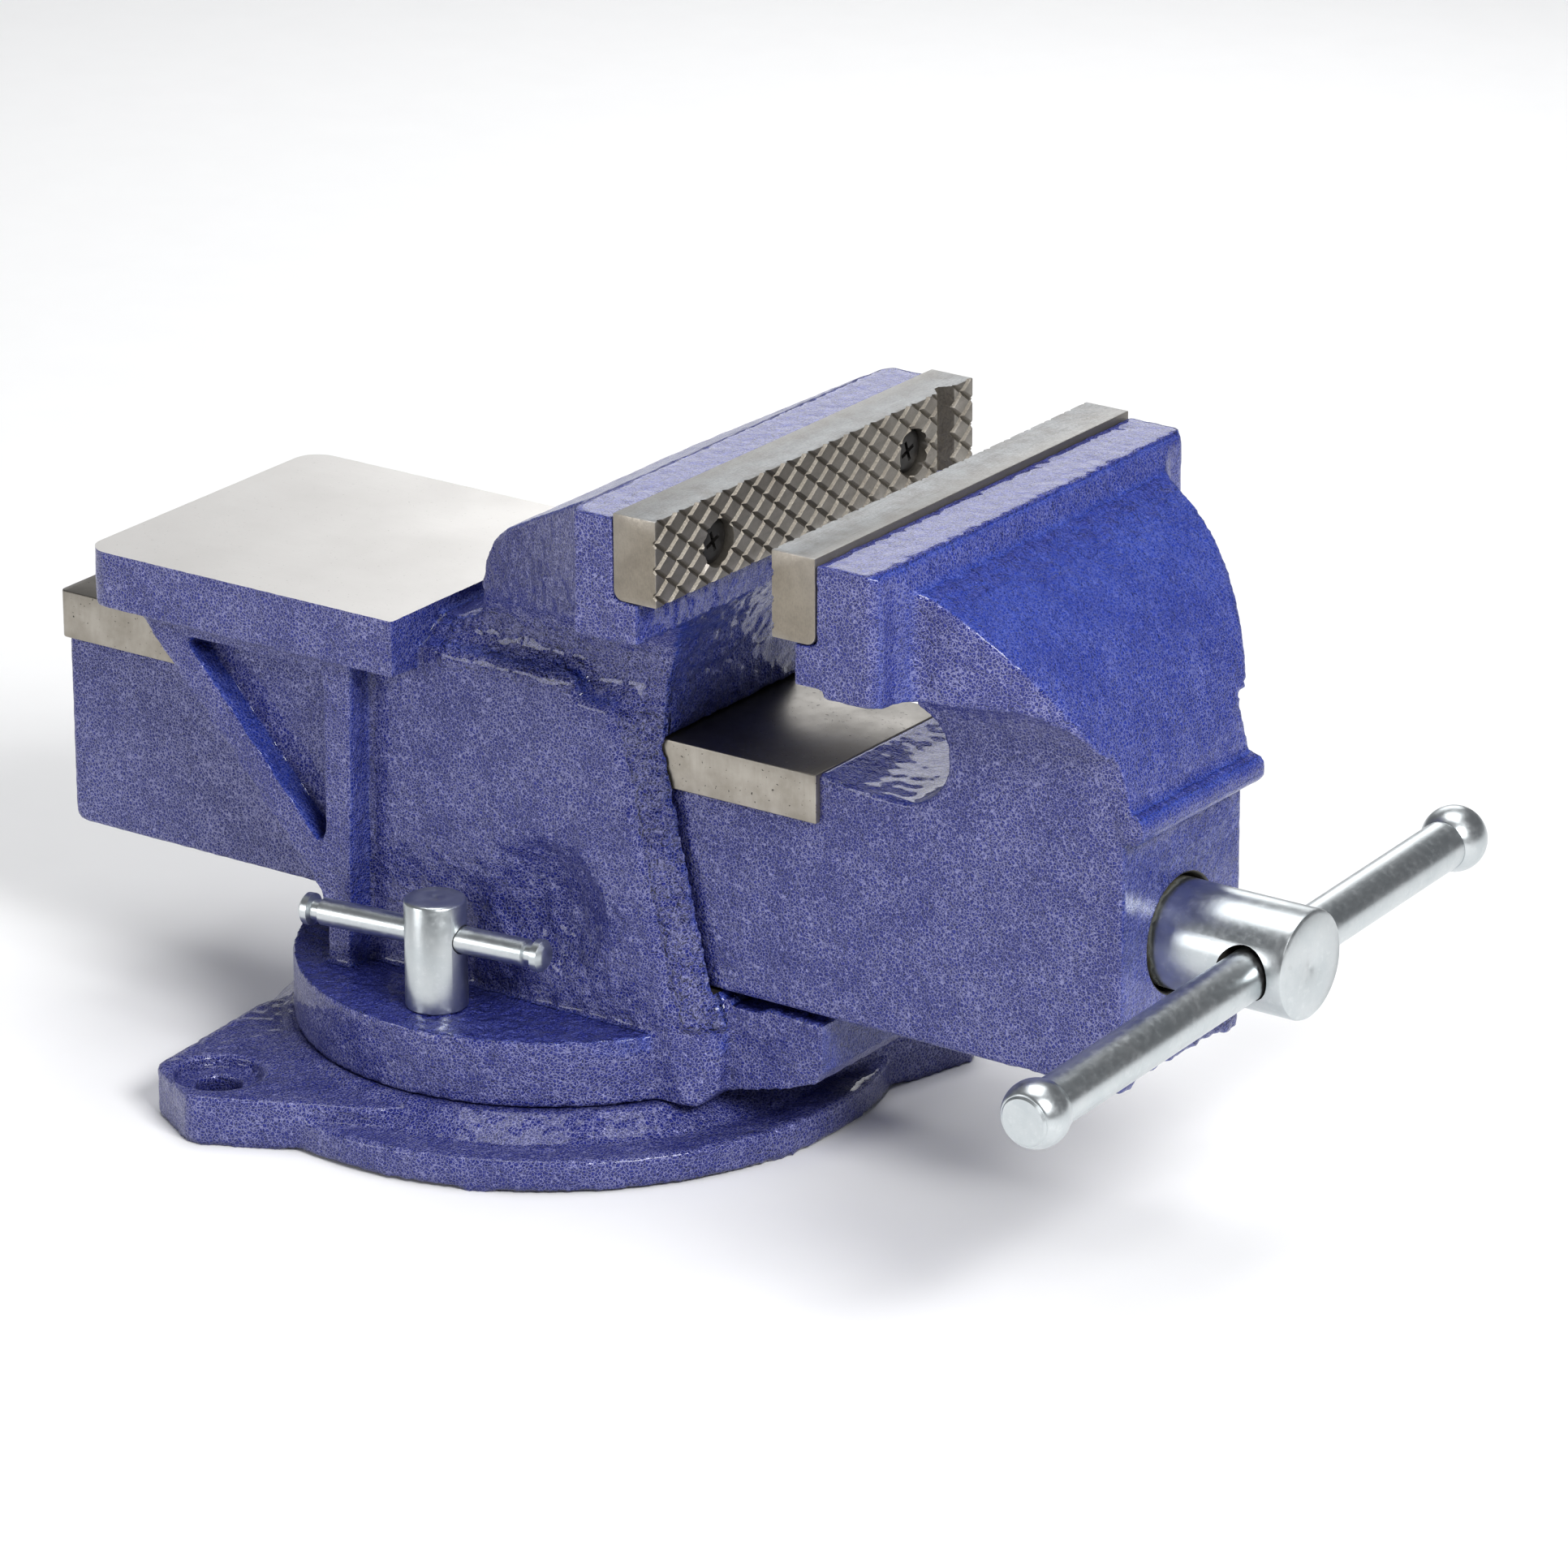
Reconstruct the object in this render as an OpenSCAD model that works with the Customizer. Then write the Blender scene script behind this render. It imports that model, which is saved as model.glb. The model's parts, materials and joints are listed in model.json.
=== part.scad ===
// Bench vise with a swivel base, an anvil and a sliding front jaw.
// Millimetres. The origin is on the swivel axis, in the plane of the base's feet.
// +X runs along the slide towards the handle, +Z is up, Y runs along the jaws.

/* [Jaws] */
// Width of both jaw plates
jaw_w = 150; // [140:1:160]
// Gap between the jaw plates as the vise stands
jaw_gap = 37.6; // [20:0.1:60]
// Height of the jaw plates
plate_h = 24.4; // [20:0.1:28]
// Thickness of the jaw plates
plate_t = 14; // [10:0.1:16]
// Height of the jaw plates' top edge
jaw_top = 201; // [196:0.1:206]

/* [Slide] */
// Half the width of the painted slide
slide_hw = 29.4; // [27:0.1:31]
// Underside of the slide
slide_bottom = 49.1; // [48:0.1:52]
// Machined top of the slide
slide_top = 120.2; // [117:0.1:122]
// Rear end of the slide
slide_rear = -152.9; // [-160:0.1:-145]
// Front face of the slide's block
slide_front = 209.5; // [205:0.1:215]

/* [Screw] */
// Height of the lead screw's axis
screw_z = 86.5; // [84:0.1:89]
// Radius of the lead screw
screw_r = 11; // [10:0.1:12]
// Radius of the screw's head
head_r = 15.3; // [14:0.1:16]
// Front end of the screw's head
head_front = 250.5; // [245:0.1:255]

/* [Handle] */
// Radius of the handle bar
handle_r = 7; // [6:0.1:7.5]
// Distance between the centres of the handle's balls
handle_len = 207; // [180:1:220]
// How far the bar has slid to one side in the head
handle_shift = -9.5; // [-20:0.1:20]
// Angle at which the handle stands
handle_tilt = 2.65; // [0:0.05:10]

/* [Anvil] */
// Top of the anvil
anvil_top = 144.4; // [140:0.1:148]
// Thickness of the anvil's lip
anvil_t = 16.8; // [14:0.1:20]
// Half the width of the anvil
anvil_hw = 52.1; // [48:0.1:54]
// Rear edge of the anvil
anvil_rear = -127; // [-130:0.1:-120]
// Front edge of the anvil
anvil_front = -16.8; // [-25:0.1:-10]

/* [Base] */
// Top of the swivel base
base_h = 16.3; // [15:0.1:18]
// Radius of the base's lower flange
flange_r = 97; // [94:0.5:100]
// Radius of the swivel disc under the body
disc_r = 75.3; // [73:0.1:77]
// Top of the swivel disc
disc_top = 36; // [34:0.1:38]
// Directions of the three bolting lugs
lug_angles = [-120, 40, 140]; // [-180:0.5:180]
// Radius of the bolt circle through the lugs
lug_hole_pcr = 104; // [102:0.5:106]
// Radius of the lug holes
lug_hole_r = 6.5; // [5:0.25:7]

/* [Hidden] */
$fn = 96;

// Colours of the painted castings, the bright steel, the zinc plate and the black screws
paint = [0.19, 0.20, 0.52];
steel = [0.45, 0.44, 0.42];
zinc = [0.76, 0.78, 0.80];
black = [0.06, 0.06, 0.07];

// Clearance between castings that slide on each other
run = 0.3;
// Radial clearance of a shaft in its bore
fit = 0.05;
// How far a cut runs past the face that it breaks out of
past = 1;

// Jaw faces and seats, along X
jaw_hw = jaw_w / 2;
fixed_face = 90.8;
fixed_seat = fixed_face - plate_t;
moving_face = fixed_face + jaw_gap;
moving_seat = moving_face + plate_t;
plate_z0 = jaw_top - plate_h;
head_top = jaw_top - 1.8;
head_under = 165;
ledge_d = 7.3;
ledge_top = plate_z0 - 0.2;

// Round back of the moving jaw: its radius in plan, and the dome over it
back_r = 59;
back_x = moving_seat + 16.9;
dome_r = 85;
dome_x = moving_seat - 14.1;
dome_z = 115;
lip_r = 4.2;

// Slide, its rail and its channel
channel_hw = 17;
channel_top = 104.8;
rail_z = 106;
rail_hw = slide_hw + 1.8;
rail_front = 111.5;
block_rear = 188;
head_seat_x = slide_front - 8;
head_rear = head_seat_x + 2.2;

// Body
floor_z = slide_bottom - run;
anvil_under = anvil_top - anvil_t;
panel_hw = 40;
pocket_hw = 41;
rib_hw = 49;
rib_front = -34;
disc_bottom = base_h + run;

// Front of the body leans back by this much in each millimetre of height
lean = 0.225;
front_x0 = 61.4;

// Swivel lock
lock_pcr = 56.5;
lock_head_r = 8.85;
lock_head_top = 68;
lock_bar_z = 57;
lock_bar_r = 3.9;
lock_bar_turn = 6.5;
lock_bar_shift = -3.6;
lock_bar_len = 79;
lock_shank_r = 5;
groove_hw = 11;
groove_neck_hw = 6.5;

// Pivot under the body
spigot_r = 17;
pivot_z = 7.2;
pivot_bolt_r = 5;

// Main nut and its bolt
nut_x0 = 6;
nut_x1 = 58;
nut_hw = 15.5;
nut_bolt_x = 32;
nut_bolt_r = 5;
nut_bolt_seat = 25.4;

// Screws of the jaw plates
plate_screw_y = 46;
plate_screw_z = 187;
plate_screw_r = 3;
plate_screw_head_r = 6.2;
plate_screw_sink = 2.2;

// Handle
handle_x = 238;
handle_drop = 0.85;
ball_r = 9.3;
bar_end = 6.4;

// Points along an arc in a plane
function arc(cx, cy, r, a0, a1, n) =
    [for (i = [0:n]) [cx + r * cos(a0 + (a1 - a0) * i / n), cy + r * sin(a0 + (a1 - a0) * i / n)]];

// Points and their mirror images, as one closed outline about the X axis
function both_sides(p) = concat(p, [for (i = [len(p) - 1:-1:0]) [p[i][0], -p[i][1]]]);

// An outline in the X-Z plane, from -hw to hw along Y
module side_slab(points, hw) {
    translate([0, hw, 0]) rotate([90, 0, 0]) linear_extrude(2 * hw) polygon(points);
}

// An outline in the Y-Z plane, from x0 to x1 along X
module cross_slab(points, x0, x1) {
    translate([x0, 0, 0]) rotate([90, 0, 90]) linear_extrude(x1 - x0) polygon(points);
}

// A plate whose two rear edges are round
module anvil() {
    r = 8;
    h = anvil_t;
    translate([0, 0, anvil_under]) {
        translate([anvil_rear + r, -anvil_hw, 0]) cube([anvil_front - anvil_rear - r, 2 * anvil_hw, h]);
        translate([anvil_rear, -anvil_hw + r, 0]) cube([2 * r, 2 * (anvil_hw - r), h]);
        for (s = [-1, 1]) translate([anvil_rear + r, s * (anvil_hw - r), 0]) cylinder(r = r, h = h);
    }
}

// A cylinder along X
module rod_x(x0, x1, r) {
    translate([x0, 0, 0]) rotate([0, 90, 0]) cylinder(r = r, h = x1 - x0);
}

// ---- Swivel base ----

// One bolting lug, pointing along +X
module lug() {
    linear_extrude(14.6) polygon(both_sides([
        [40, 52], [75, 43], [88, 34], [107, 20.5], [116.5, 14], [118, 11]
    ]));
}

// The lower flange fills the side between the first two lugs
module flange_sector() {
    intersection() {
        cylinder(r = flange_r, h = 9.8);
        rotate(-40) linear_extrude(20) polygon([[0, 0], [40, -120], [130, -90], [130, 90], [40, 120]]);
    }
}

module swivel_base() {
    color(paint) difference() {
        union() {
            rotate_extrude() polygon([[0, 0], [84, 0], [85.5, 1.5], [85.5, 10.1], [77, base_h], [0, base_h]]);
            flange_sector();
            for (a = lug_angles) rotate(a) lug();
        }
        // bolt holes in scooped seats
        for (a = lug_angles) rotate(a) translate([lug_hole_pcr, 0, 0]) {
            translate([0, 0, -past]) cylinder(r = lug_hole_r, h = 20);
            translate([0, 0, 11]) cylinder(r = 12.5, h = 10);
        }
        // bore of the pivot, and the recess under it
        translate([0, 0, -past]) cylinder(r = spigot_r + fit, h = 20);
        translate([0, 0, -past]) cylinder(r = 24, h = pivot_z + 0.2 + past);
        // undercut groove of the swivel lock
        rotate_extrude() polygon([
            [lock_pcr - groove_hw, 3.5], [lock_pcr + groove_hw, 3.5],
            [lock_pcr + groove_hw, 10.5], [lock_pcr + groove_neck_hw, 10.5],
            [lock_pcr + groove_neck_hw, 20], [lock_pcr - groove_neck_hw, 20],
            [lock_pcr - groove_neck_hw, 10.5], [lock_pcr - groove_hw, 10.5]
        ]);
        // relief under the flange between the feet
        difference() {
            translate([0, 0, -past]) cylinder(r = 130, h = 0.9 + past);
            translate([0, 0, -2]) cylinder(r = 80, h = 4);
            for (a = lug_angles) rotate(a) translate([82, -27, -2]) cube([50, 54, 4]);
            for (a = [-67, -13]) rotate(a) translate([92, 0, -2]) cylinder(r = 6, h = 4);
        }
    }
}

// ---- Body: swivel disc, slide housing, anvil and fixed jaw in one casting ----

// Side outline of the housing, from the anvil's gusset to the slanting front
housing_side = [
    [-111, anvil_under + 1], [-46.9, 57.6], [-44.4, 50], [-44.4, disc_bottom],
    [76, disc_bottom], [80.5, 21], [80.5, 40], [front_x0 + lean * (slide_top - floor_z), floor_z],
    [front_x0 - 1.9, slide_top + 8.4], [37, 128.2], [37, 135], [anvil_front - 3, 133.5]
];

// Side outline of the fixed jaw: anvil level, round back, sloping top, seat, ledge, throat
fixed_side = concat(
    [[anvil_front - 4, 118], [anvil_front - 4, 139], [-5, 142.5], [0, 145.5]],
    arc(34.5, 146, 34.5, 175, 117, 12),
    [[60.5, head_top - 0.6], [62.5, head_top], [fixed_seat, head_top], [fixed_seat, ledge_top],
     [fixed_seat + ledge_d, ledge_top], [fixed_seat + ledge_d, head_under],
     [77, 161], [68, 149], [63, 136], [front_x0, 118]]
);

// Plan of the fixed jaw's back: ear, cove and tapering wall
fixed_plan = both_sides([
    [fixed_seat + 10, jaw_hw], [fixed_seat - 12.8, jaw_hw], [fixed_seat - 15.6, jaw_hw - 3],
    [fixed_seat - 16.2, 67], [fixed_seat - 18, 63.5], [fixed_seat - 21, 61],
    [23, 45.5], [-2, 33.2], [anvil_front - 5, 29]
]);

// The neck grows wider up to the ears' underside
module flare(inner, z0, r, top, x0, x1) {
    cross_slab(concat(
        [[0, z0 - 30], [inner, z0 - 30]],
        arc(inner + r, z0, r, 180, 90, 10),
        [[jaw_hw + 9, z0 + r + 2.5], [jaw_hw + 9, top], [-jaw_hw - 9, top], [-jaw_hw - 9, z0 + r + 2.5]],
        arc(-inner - r, z0, r, 90, 0, 10),
        [[-inner, z0 - 30]]
    ), x0, x1);
}

// Everything above the underside of the fixed jaw's wall, which rises to the ears
above_wall = [
    [-30, 147], [0, 150.6], [30, 155.5], [52, 160.5], [fixed_seat - 15, head_under],
    [fixed_seat + 30, head_under], [fixed_seat + 30, 230], [-30, 230]
];

module fixed_head() {
    intersection() {
        side_slab(fixed_side, jaw_hw);
        linear_extrude(300) polygon(fixed_plan);
        union() {
            flare(33, 139.5, 23, 175, anvil_front - 10, fixed_seat + ledge_d + 1);
            side_slab(above_wall, jaw_hw + 5);
        }
    }
}

// Gusset frames under the anvil stand proud of the panels
module gusset(side) {
    difference() {
        translate([0, side > 0 ? rib_hw : -panel_hw + 2, 0]) rotate([90, 0, 0])
            linear_extrude(rib_hw - panel_hw + 2) polygon([
                [-111, anvil_under + 1], [-46.9, 57.6], [-44.4, 50], [-44.4, disc_bottom + 8],
                [rib_front - 2.7, disc_bottom + 8], [rib_front, anvil_under + 1]
            ]);
        translate([0, side > 0 ? rib_hw + past : -pocket_hw, 0]) rotate([90, 0, 0])
            linear_extrude(rib_hw - pocket_hw + past) polygon([
                [-93.8, 123.4], [-46.6, 71.6], [-45, 74], [-44.5, 123.4]
            ]);
    }
}

// Wedges that bevel the two front corners of the housing, along its slant
module front_bevels() {
    translate([front_x0, 0, slide_top]) rotate([0, -atan(lean), 0]) for (s = [-1, 1])
        translate([0, 0, -130]) linear_extrude(170) polygon([
            [-11.5, s * panel_hw], [-3, s * 34.5], [0, s * 31.5], [20, s * 31.5], [20, s * 60], [-11.5, s * 60]
        ]);
}

// The panels' top edge slopes up to the neck
module shoulder(x0, x1, z) {
    cross_slab([[-panel_hw, z - 3], [panel_hw, z - 3], [panel_hw, z], [36.5, z + 1.4], [33, z + 5],
        [-33, z + 5], [-36.5, z + 1.4], [-panel_hw, z]], x0, x1);
}

module vise_body() {
    color(paint) difference() {
        union() {
            translate([0, 0, disc_bottom]) cylinder(r = disc_r, h = disc_top - disc_bottom);
            difference() {
                union() {
                    side_slab(housing_side, panel_hw);
                    shoulder(anvil_front - 3, 37, 134);
                    shoulder(36, front_x0 - 2.5, slide_top + 8.3);
                }
                front_bevels();
            }
            for (s = [-1, 1]) gusset(s);
            anvil();
            fixed_head();
            // nose under the slide
            side_slab([[40, disc_bottom], [70, disc_bottom], [100, 24.5], [109, 28], [112, 32],
                [112, 46.6], [92, 46.6], [92, 45], [81, 45], [81, 47], [40, 47]], 29);
            // spigot of the pivot
            translate([0, 0, pivot_z]) cylinder(r = spigot_r, h = 12);
        }
        // slide channel
        translate([-200, -rail_hw - run, floor_z]) cube([400, 2 * (rail_hw + run), slide_top + run - floor_z]);
        // waist behind each lock bolt, above the disc
        intersection() {
            for (s = [-1, 1]) translate([27, s * 73, 66]) sphere(r = 38.5);
            translate([-50, -150, disc_top + 0.5]) cube([150, 300, 100]);
        }
        // bores of the lock bolts
        for (s = [-1, 1]) translate([0, s * lock_pcr, 0]) cylinder(r = lock_shank_r + 0.4, h = 60);
        // bolt of the pivot, and bolt of the main nut
        cylinder(r = pivot_bolt_r, h = 34);
        translate([nut_bolt_x, 0, 0]) cylinder(r = nut_bolt_r + 0.5, h = 60);
        translate([nut_bolt_x, 0, 0]) cylinder(r = 10.5, h = nut_bolt_seat);
        // tapped holes of the plate screws
        for (s = [-1, 1]) translate([0, s * plate_screw_y, plate_screw_z])
            rod_x(fixed_seat - 16, fixed_seat + past, plate_screw_r);
    }
}

module pivot_washer() {
    color(zinc) translate([0, 0, pivot_z - 2]) difference() {
        cylinder(r = 22, h = 2);
        translate([0, 0, -past]) cylinder(r = pivot_bolt_r + 0.3, h = 4);
    }
}

module pivot_bolt() {
    color(zinc) {
        translate([0, 0, 0.8]) cylinder(r = 9, h = pivot_z - 2.8, $fn = 6);
        translate([0, 0, 2]) cylinder(r = pivot_bolt_r, h = 28);
    }
}

// ---- Main nut ----

module main_nut() {
    color("dimgray") difference() {
        union() {
            translate([nut_x0, -nut_hw, floor_z]) cube([nut_x1 - nut_x0, 2 * nut_hw, screw_z - floor_z]);
            translate([0, 0, screw_z]) rod_x(nut_x0, nut_x1, nut_hw);
        }
        translate([0, 0, screw_z]) rod_x(nut_x0 - past, nut_x1 + past, screw_r + fit);
        translate([nut_bolt_x, 0, floor_z - past]) cylinder(r = nut_bolt_r, h = 18);
    }
}

module nut_bolt() {
    color(zinc) translate([nut_bolt_x, 0, 0]) {
        translate([0, 0, nut_bolt_seat - 8]) cylinder(r = 9, h = 6, $fn = 6);
        translate([0, 0, nut_bolt_seat - 3]) cylinder(r = nut_bolt_r, h = 40);
    }
}

module nut_washer() {
    color(zinc) translate([nut_bolt_x, 0, nut_bolt_seat - 2]) difference() {
        cylinder(r = 10, h = 2);
        translate([0, 0, -past]) cylinder(r = nut_bolt_r + 0.3, h = 4);
    }
}

// ---- Jaw plates and their screws ----

// A plate whose gripping face is at x = 0 and whose back is at x = -plate_t
module jaw_plate(grooved) {
    difference() {
        translate([-plate_t, 0, plate_z0]) rotate([90, 0, 90]) linear_extrude(plate_t) difference() {
            translate([-jaw_hw, 0]) square([jaw_w, plate_h]);
        }
        // lower back edge is round
        difference() {
            translate([-plate_t - past, -jaw_hw - past, plate_z0 - past])
                cube([past + 3, jaw_w + 2 * past, past + 3]);
            translate([-plate_t + 3, jaw_hw + 2 * past, plate_z0 + 3]) rotate([90, 0, 0])
                cylinder(r = 3, h = jaw_w + 4 * past);
        }
        for (s = [-1, 1]) translate([0, s * plate_screw_y, plate_screw_z]) {
            rod_x(-plate_t - past, past, plate_screw_r + 0.3);
            rod_x(-plate_screw_sink - 1.2, past, plate_screw_head_r + 0.5);
            translate([-plate_screw_sink - 4.6, 0, 0]) rotate([0, 90, 0])
                cylinder(r1 = plate_screw_r + 0.3, r2 = plate_screw_head_r + 0.5, h = 3.4);
        }
        // upright groove for round work
        if (grooved) translate([0, 61.5, plate_z0 - past]) linear_extrude(plate_h + 2 * past)
            polygon([[past, -5.2], [past, 5.2], [0, 4.2], [-3.2, 1], [-3.2, -1], [0, -4.2]]);
    }
}

// Two countersunk screws with crossed slots
module plate_screws() {
    for (s = [-1, 1]) translate([-plate_screw_sink, s * plate_screw_y, plate_screw_z]) difference() {
        union() {
            rod_x(-1, 0, plate_screw_head_r);
            translate([-4, 0, 0]) rotate([0, 90, 0])
                cylinder(r1 = plate_screw_r, r2 = plate_screw_head_r, h = 3);
            rod_x(-24, -3.5, plate_screw_r);
        }
        for (a = [0, 90]) rotate([a + 20, 0, 0]) translate([-2.2, -3, -0.55]) cube([3, 6, 1.1]);
    }
}

module fixed_plate() { color(steel) translate([fixed_face, 0, 0]) jaw_plate(true); }

module fixed_plate_screws() { color(black) translate([fixed_face, 0, 0]) plate_screws(); }

module moving_plate() { color(steel) translate([moving_face, 0, 0]) mirror([1, 0, 0]) jaw_plate(false); }

module moving_plate_screws() { color(black) translate([moving_face, 0, 0]) mirror([1, 0, 0]) plate_screws(); }

// ---- Moving jaw: head, neck and slide in one casting ----

// Plan of the moving jaw: ear, cove and round back
moving_plan = both_sides(concat(
    [[moving_seat - ledge_d, jaw_hw], [moving_seat + 16.5, jaw_hw], [moving_seat + 19.3, jaw_hw - 3],
     [moving_seat + 19.4, 66.5], [moving_seat + 20.6, 62.5], [moving_seat + 23, 59.6]],
    arc(back_x, 0, back_r, 81, 31, 20),
    [[back_x + 58, 30.2]]
));

// Side outline of the hood between the top, the dome and the wall's underside
hood_side = concat(
    [[moving_seat, head_under], [moving_seat, head_top], [moving_seat + 17, head_top],
     [moving_seat + 19, head_top - 1]],
    arc(dome_x, dome_z, dome_r, 65, 20, 16),
    [[moving_seat + 58.8, 153.7], [moving_seat + 53.5, 157.8], [moving_seat + 46.8, 160.2],
     [moving_seat + 25.8, 162.3], [moving_seat + 18.8, head_under]]
);

// Side outline of the neck that carries the hood
neck_side = concat(
    [[moving_seat + 2.3, 110], [moving_seat + 2.3, head_top - 10]],
    arc(dome_x, dome_z, dome_r, 70, 11, 20),
    [[slide_front + 3, 125.8], [slide_front, 121.6], [slide_front, 110]]
);

module moving_head() {
    intersection() {
        linear_extrude(300) polygon(moving_plan);
        union() {
            side_slab(hood_side, jaw_hw);
            translate([moving_seat - ledge_d, -jaw_hw, head_under])
                cube([ledge_d + 1, jaw_w, ledge_top - head_under]);
            intersection() {
                side_slab(neck_side, jaw_hw);
                flare(slide_hw, 139.4, 21, 200, moving_seat, slide_front + 10);
            }
        }
    }
    // rolled lip at the foot of the dome
    translate([slide_front + 3, 30.2, 125.8]) rotate([90, 0, 0]) cylinder(r = lip_r, h = 60.4);
}

module moving_jaw() {
    color(paint) difference() {
        union() {
            moving_head();
            side_slab(concat(
                arc(slide_rear + 4.3, slide_bottom + 4.3, 4.3, 180, 270, 8),
                [[slide_front, slide_bottom], [slide_front, slide_top - 0.2], [slide_rear, slide_top - 0.2]]
            ), slide_hw);
            translate([slide_rear - 1.5, -rail_hw, rail_z])
                cube([rail_front - slide_rear + 1.5, 2 * rail_hw, slide_top - rail_z]);
        }
        // throat in front of the neck
        side_slab(concat(
            [[rail_front, slide_top + 15], [rail_front, slide_top]],
            [[122, 118.2]],
            arc(138.4, 133.1, 15.4, 270, 426, 18)
        ), jaw_hw);
        // channel for the screw and nut, open below
        translate([slide_rear - 5, -channel_hw, slide_bottom - 5])
            cube([block_rear - slide_rear + 5, 2 * channel_hw, channel_top - slide_bottom + 5]);
        // bore of the screw and the seat of its head
        translate([0, 0, screw_z]) rod_x(block_rear - 5, slide_front + 5, screw_r + fit);
        translate([0, 0, screw_z]) rod_x(head_seat_x, slide_front + 5, head_r + 1.2);
        // hollow under the front block, between its feet
        translate([block_rear - past, -22, slide_bottom - past]) cube([60, 44, past + 1.8]);
        // tapped holes of the plate screws
        for (s = [-1, 1]) translate([0, s * plate_screw_y, plate_screw_z])
            rod_x(moving_seat - past, moving_seat + 16, plate_screw_r);
    }
}

// ---- Lead screw and handle ----

// The handle stands at an angle about the screw's axis
module handle_frame() {
    translate([handle_x, 0, screw_z]) rotate([handle_tilt, 0, 0]) children();
}

module lead_screw() {
    color(zinc) difference() {
        translate([0, 0, screw_z]) {
            rod_x(-115, head_rear + 1, screw_r);
            translate([head_rear, 0, 0]) rotate([0, 90, 0]) rotate_extrude() polygon([
                [0, 0], [head_r, 0], [head_r, head_front - head_rear - 1.2],
                [head_r - 1.2, head_front - head_rear], [0, head_front - head_rear]
            ]);
        }
        handle_frame() rotate([90, 0, 0]) cylinder(r = handle_r + 1, h = 60, center = true);
        translate([184.4, 0, screw_z - 20]) cylinder(r = 2.5, h = 40);
    }
}

module thrust_washer() {
    color(zinc) translate([0, 0, screw_z]) difference() {
        rod_x(head_seat_x, head_rear, head_r);
        rod_x(head_seat_x - past, head_rear + past, screw_r + fit);
    }
}

module screw_collar() {
    color(zinc) translate([0, 0, screw_z]) difference() {
        rod_x(181, block_rear - 0.2, 15.8);
        rod_x(180, block_rear + past, screw_r);
        translate([184.4, 0, -20]) cylinder(r = 2.5, h = 40);
    }
}

module collar_pin() {
    color(zinc) translate([184.4, 0, screw_z - 15.5]) cylinder(r = 2.5, h = 31);
}

module handle_bar() {
    half = handle_len / 2 + bar_end;
    color(zinc) handle_frame() translate([0, handle_shift, -handle_drop]) rotate([90, 0, 0])
        translate([0, 0, -half]) rotate_extrude() polygon([
            [0, 0], [handle_r - 0.6, 0], [handle_r, 0.6], [handle_r, 2 * half - 0.6],
            [handle_r - 0.6, 2 * half], [0, 2 * half]
        ]);
}

// A ball pressed on the bar's end, its outer side turned flat
module handle_ball(side) {
    color(zinc) handle_frame() translate([0, handle_shift + side * handle_len / 2, -handle_drop])
        rotate([90, 0, 0]) difference() {
            sphere(r = ball_r);
            cylinder(r = handle_r, h = 30, center = true);
            for (s = [-1, 1]) translate([0, 0, s * (bar_end - 0.6 + 5)]) cube([30, 30, 10], center = true);
        }
}

module handle_ball_near() { handle_ball(-1); }

module handle_ball_far() { handle_ball(1); }

// ---- Swivel lock ----

module t_nut(side) {
    color(zinc) translate([0, side * lock_pcr, 4]) difference() {
        union() {
            cylinder(r = groove_hw - 0.8, h = 6.2);
            cylinder(r = groove_neck_hw - 0.6, h = 10.5);
        }
        translate([0, 0, -past]) cylinder(r = lock_shank_r + fit, h = 20);
    }
}

module t_nut_near() { t_nut(-1); }

module t_nut_far() { t_nut(1); }

// The far side's bolt mirrors the near one
module lock_side(side) {
    mirror([0, side < 0 ? 0 : 1, 0]) translate([0, -lock_pcr, 0]) children();
}

module lock_bolt(side) {
    color(zinc) lock_side(side) difference() {
        rotate_extrude() polygon([
            [0, 5], [lock_shank_r - 0.8, 5], [lock_shank_r, 5.8], [lock_shank_r, disc_top],
            [lock_head_r, disc_top], [lock_head_r, lock_head_top - 0.9], [lock_head_r - 0.9, lock_head_top],
            [0, lock_head_top]
        ]);
        translate([0, 0, lock_bar_z]) rotate([90, 0, 90 + lock_bar_turn])
            cylinder(r = lock_bar_r + fit, h = 40, center = true);
    }
}

module lock_bolt_near() { lock_bolt(-1); }

module lock_bolt_far() { lock_bolt(1); }

// A bar with crimped necks and bevelled buttons at both ends
module lock_bar(side) {
    half = lock_bar_len / 2;
    end = [[0, half], [3.3, half], [4.6, half - 1.3], [4.6, half - 3.3], [3.1, half - 3.9], [3.1, half - 6],
        [lock_bar_r, half - 6.6]];
    color(zinc) lock_side(side) translate([0, 0, lock_bar_z]) rotate([0, 0, lock_bar_turn])
        translate([lock_bar_shift, 0, 0]) rotate([0, 90, 0]) rotate_extrude()
            polygon(concat(end, [for (i = [len(end) - 1:-1:0]) [end[i][0], -end[i][1]]]));
}

module lock_bar_near() { lock_bar(-1); }

module lock_bar_far() { lock_bar(1); }

swivel_base();
vise_body();
pivot_washer();
pivot_bolt();
main_nut();
nut_bolt();
nut_washer();
fixed_plate();
fixed_plate_screws();
moving_jaw();
moving_plate();
moving_plate_screws();
lead_screw();
thrust_washer();
screw_collar();
collar_pin();
handle_bar();
handle_ball_near();
handle_ball_far();
t_nut_near();
t_nut_far();
lock_bolt_near();
lock_bolt_far();
lock_bar_near();
lock_bar_far();
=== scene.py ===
import json
import math

import bmesh
import bpy
import numpy as np
from mathutils import Matrix, Vector, noise


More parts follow.
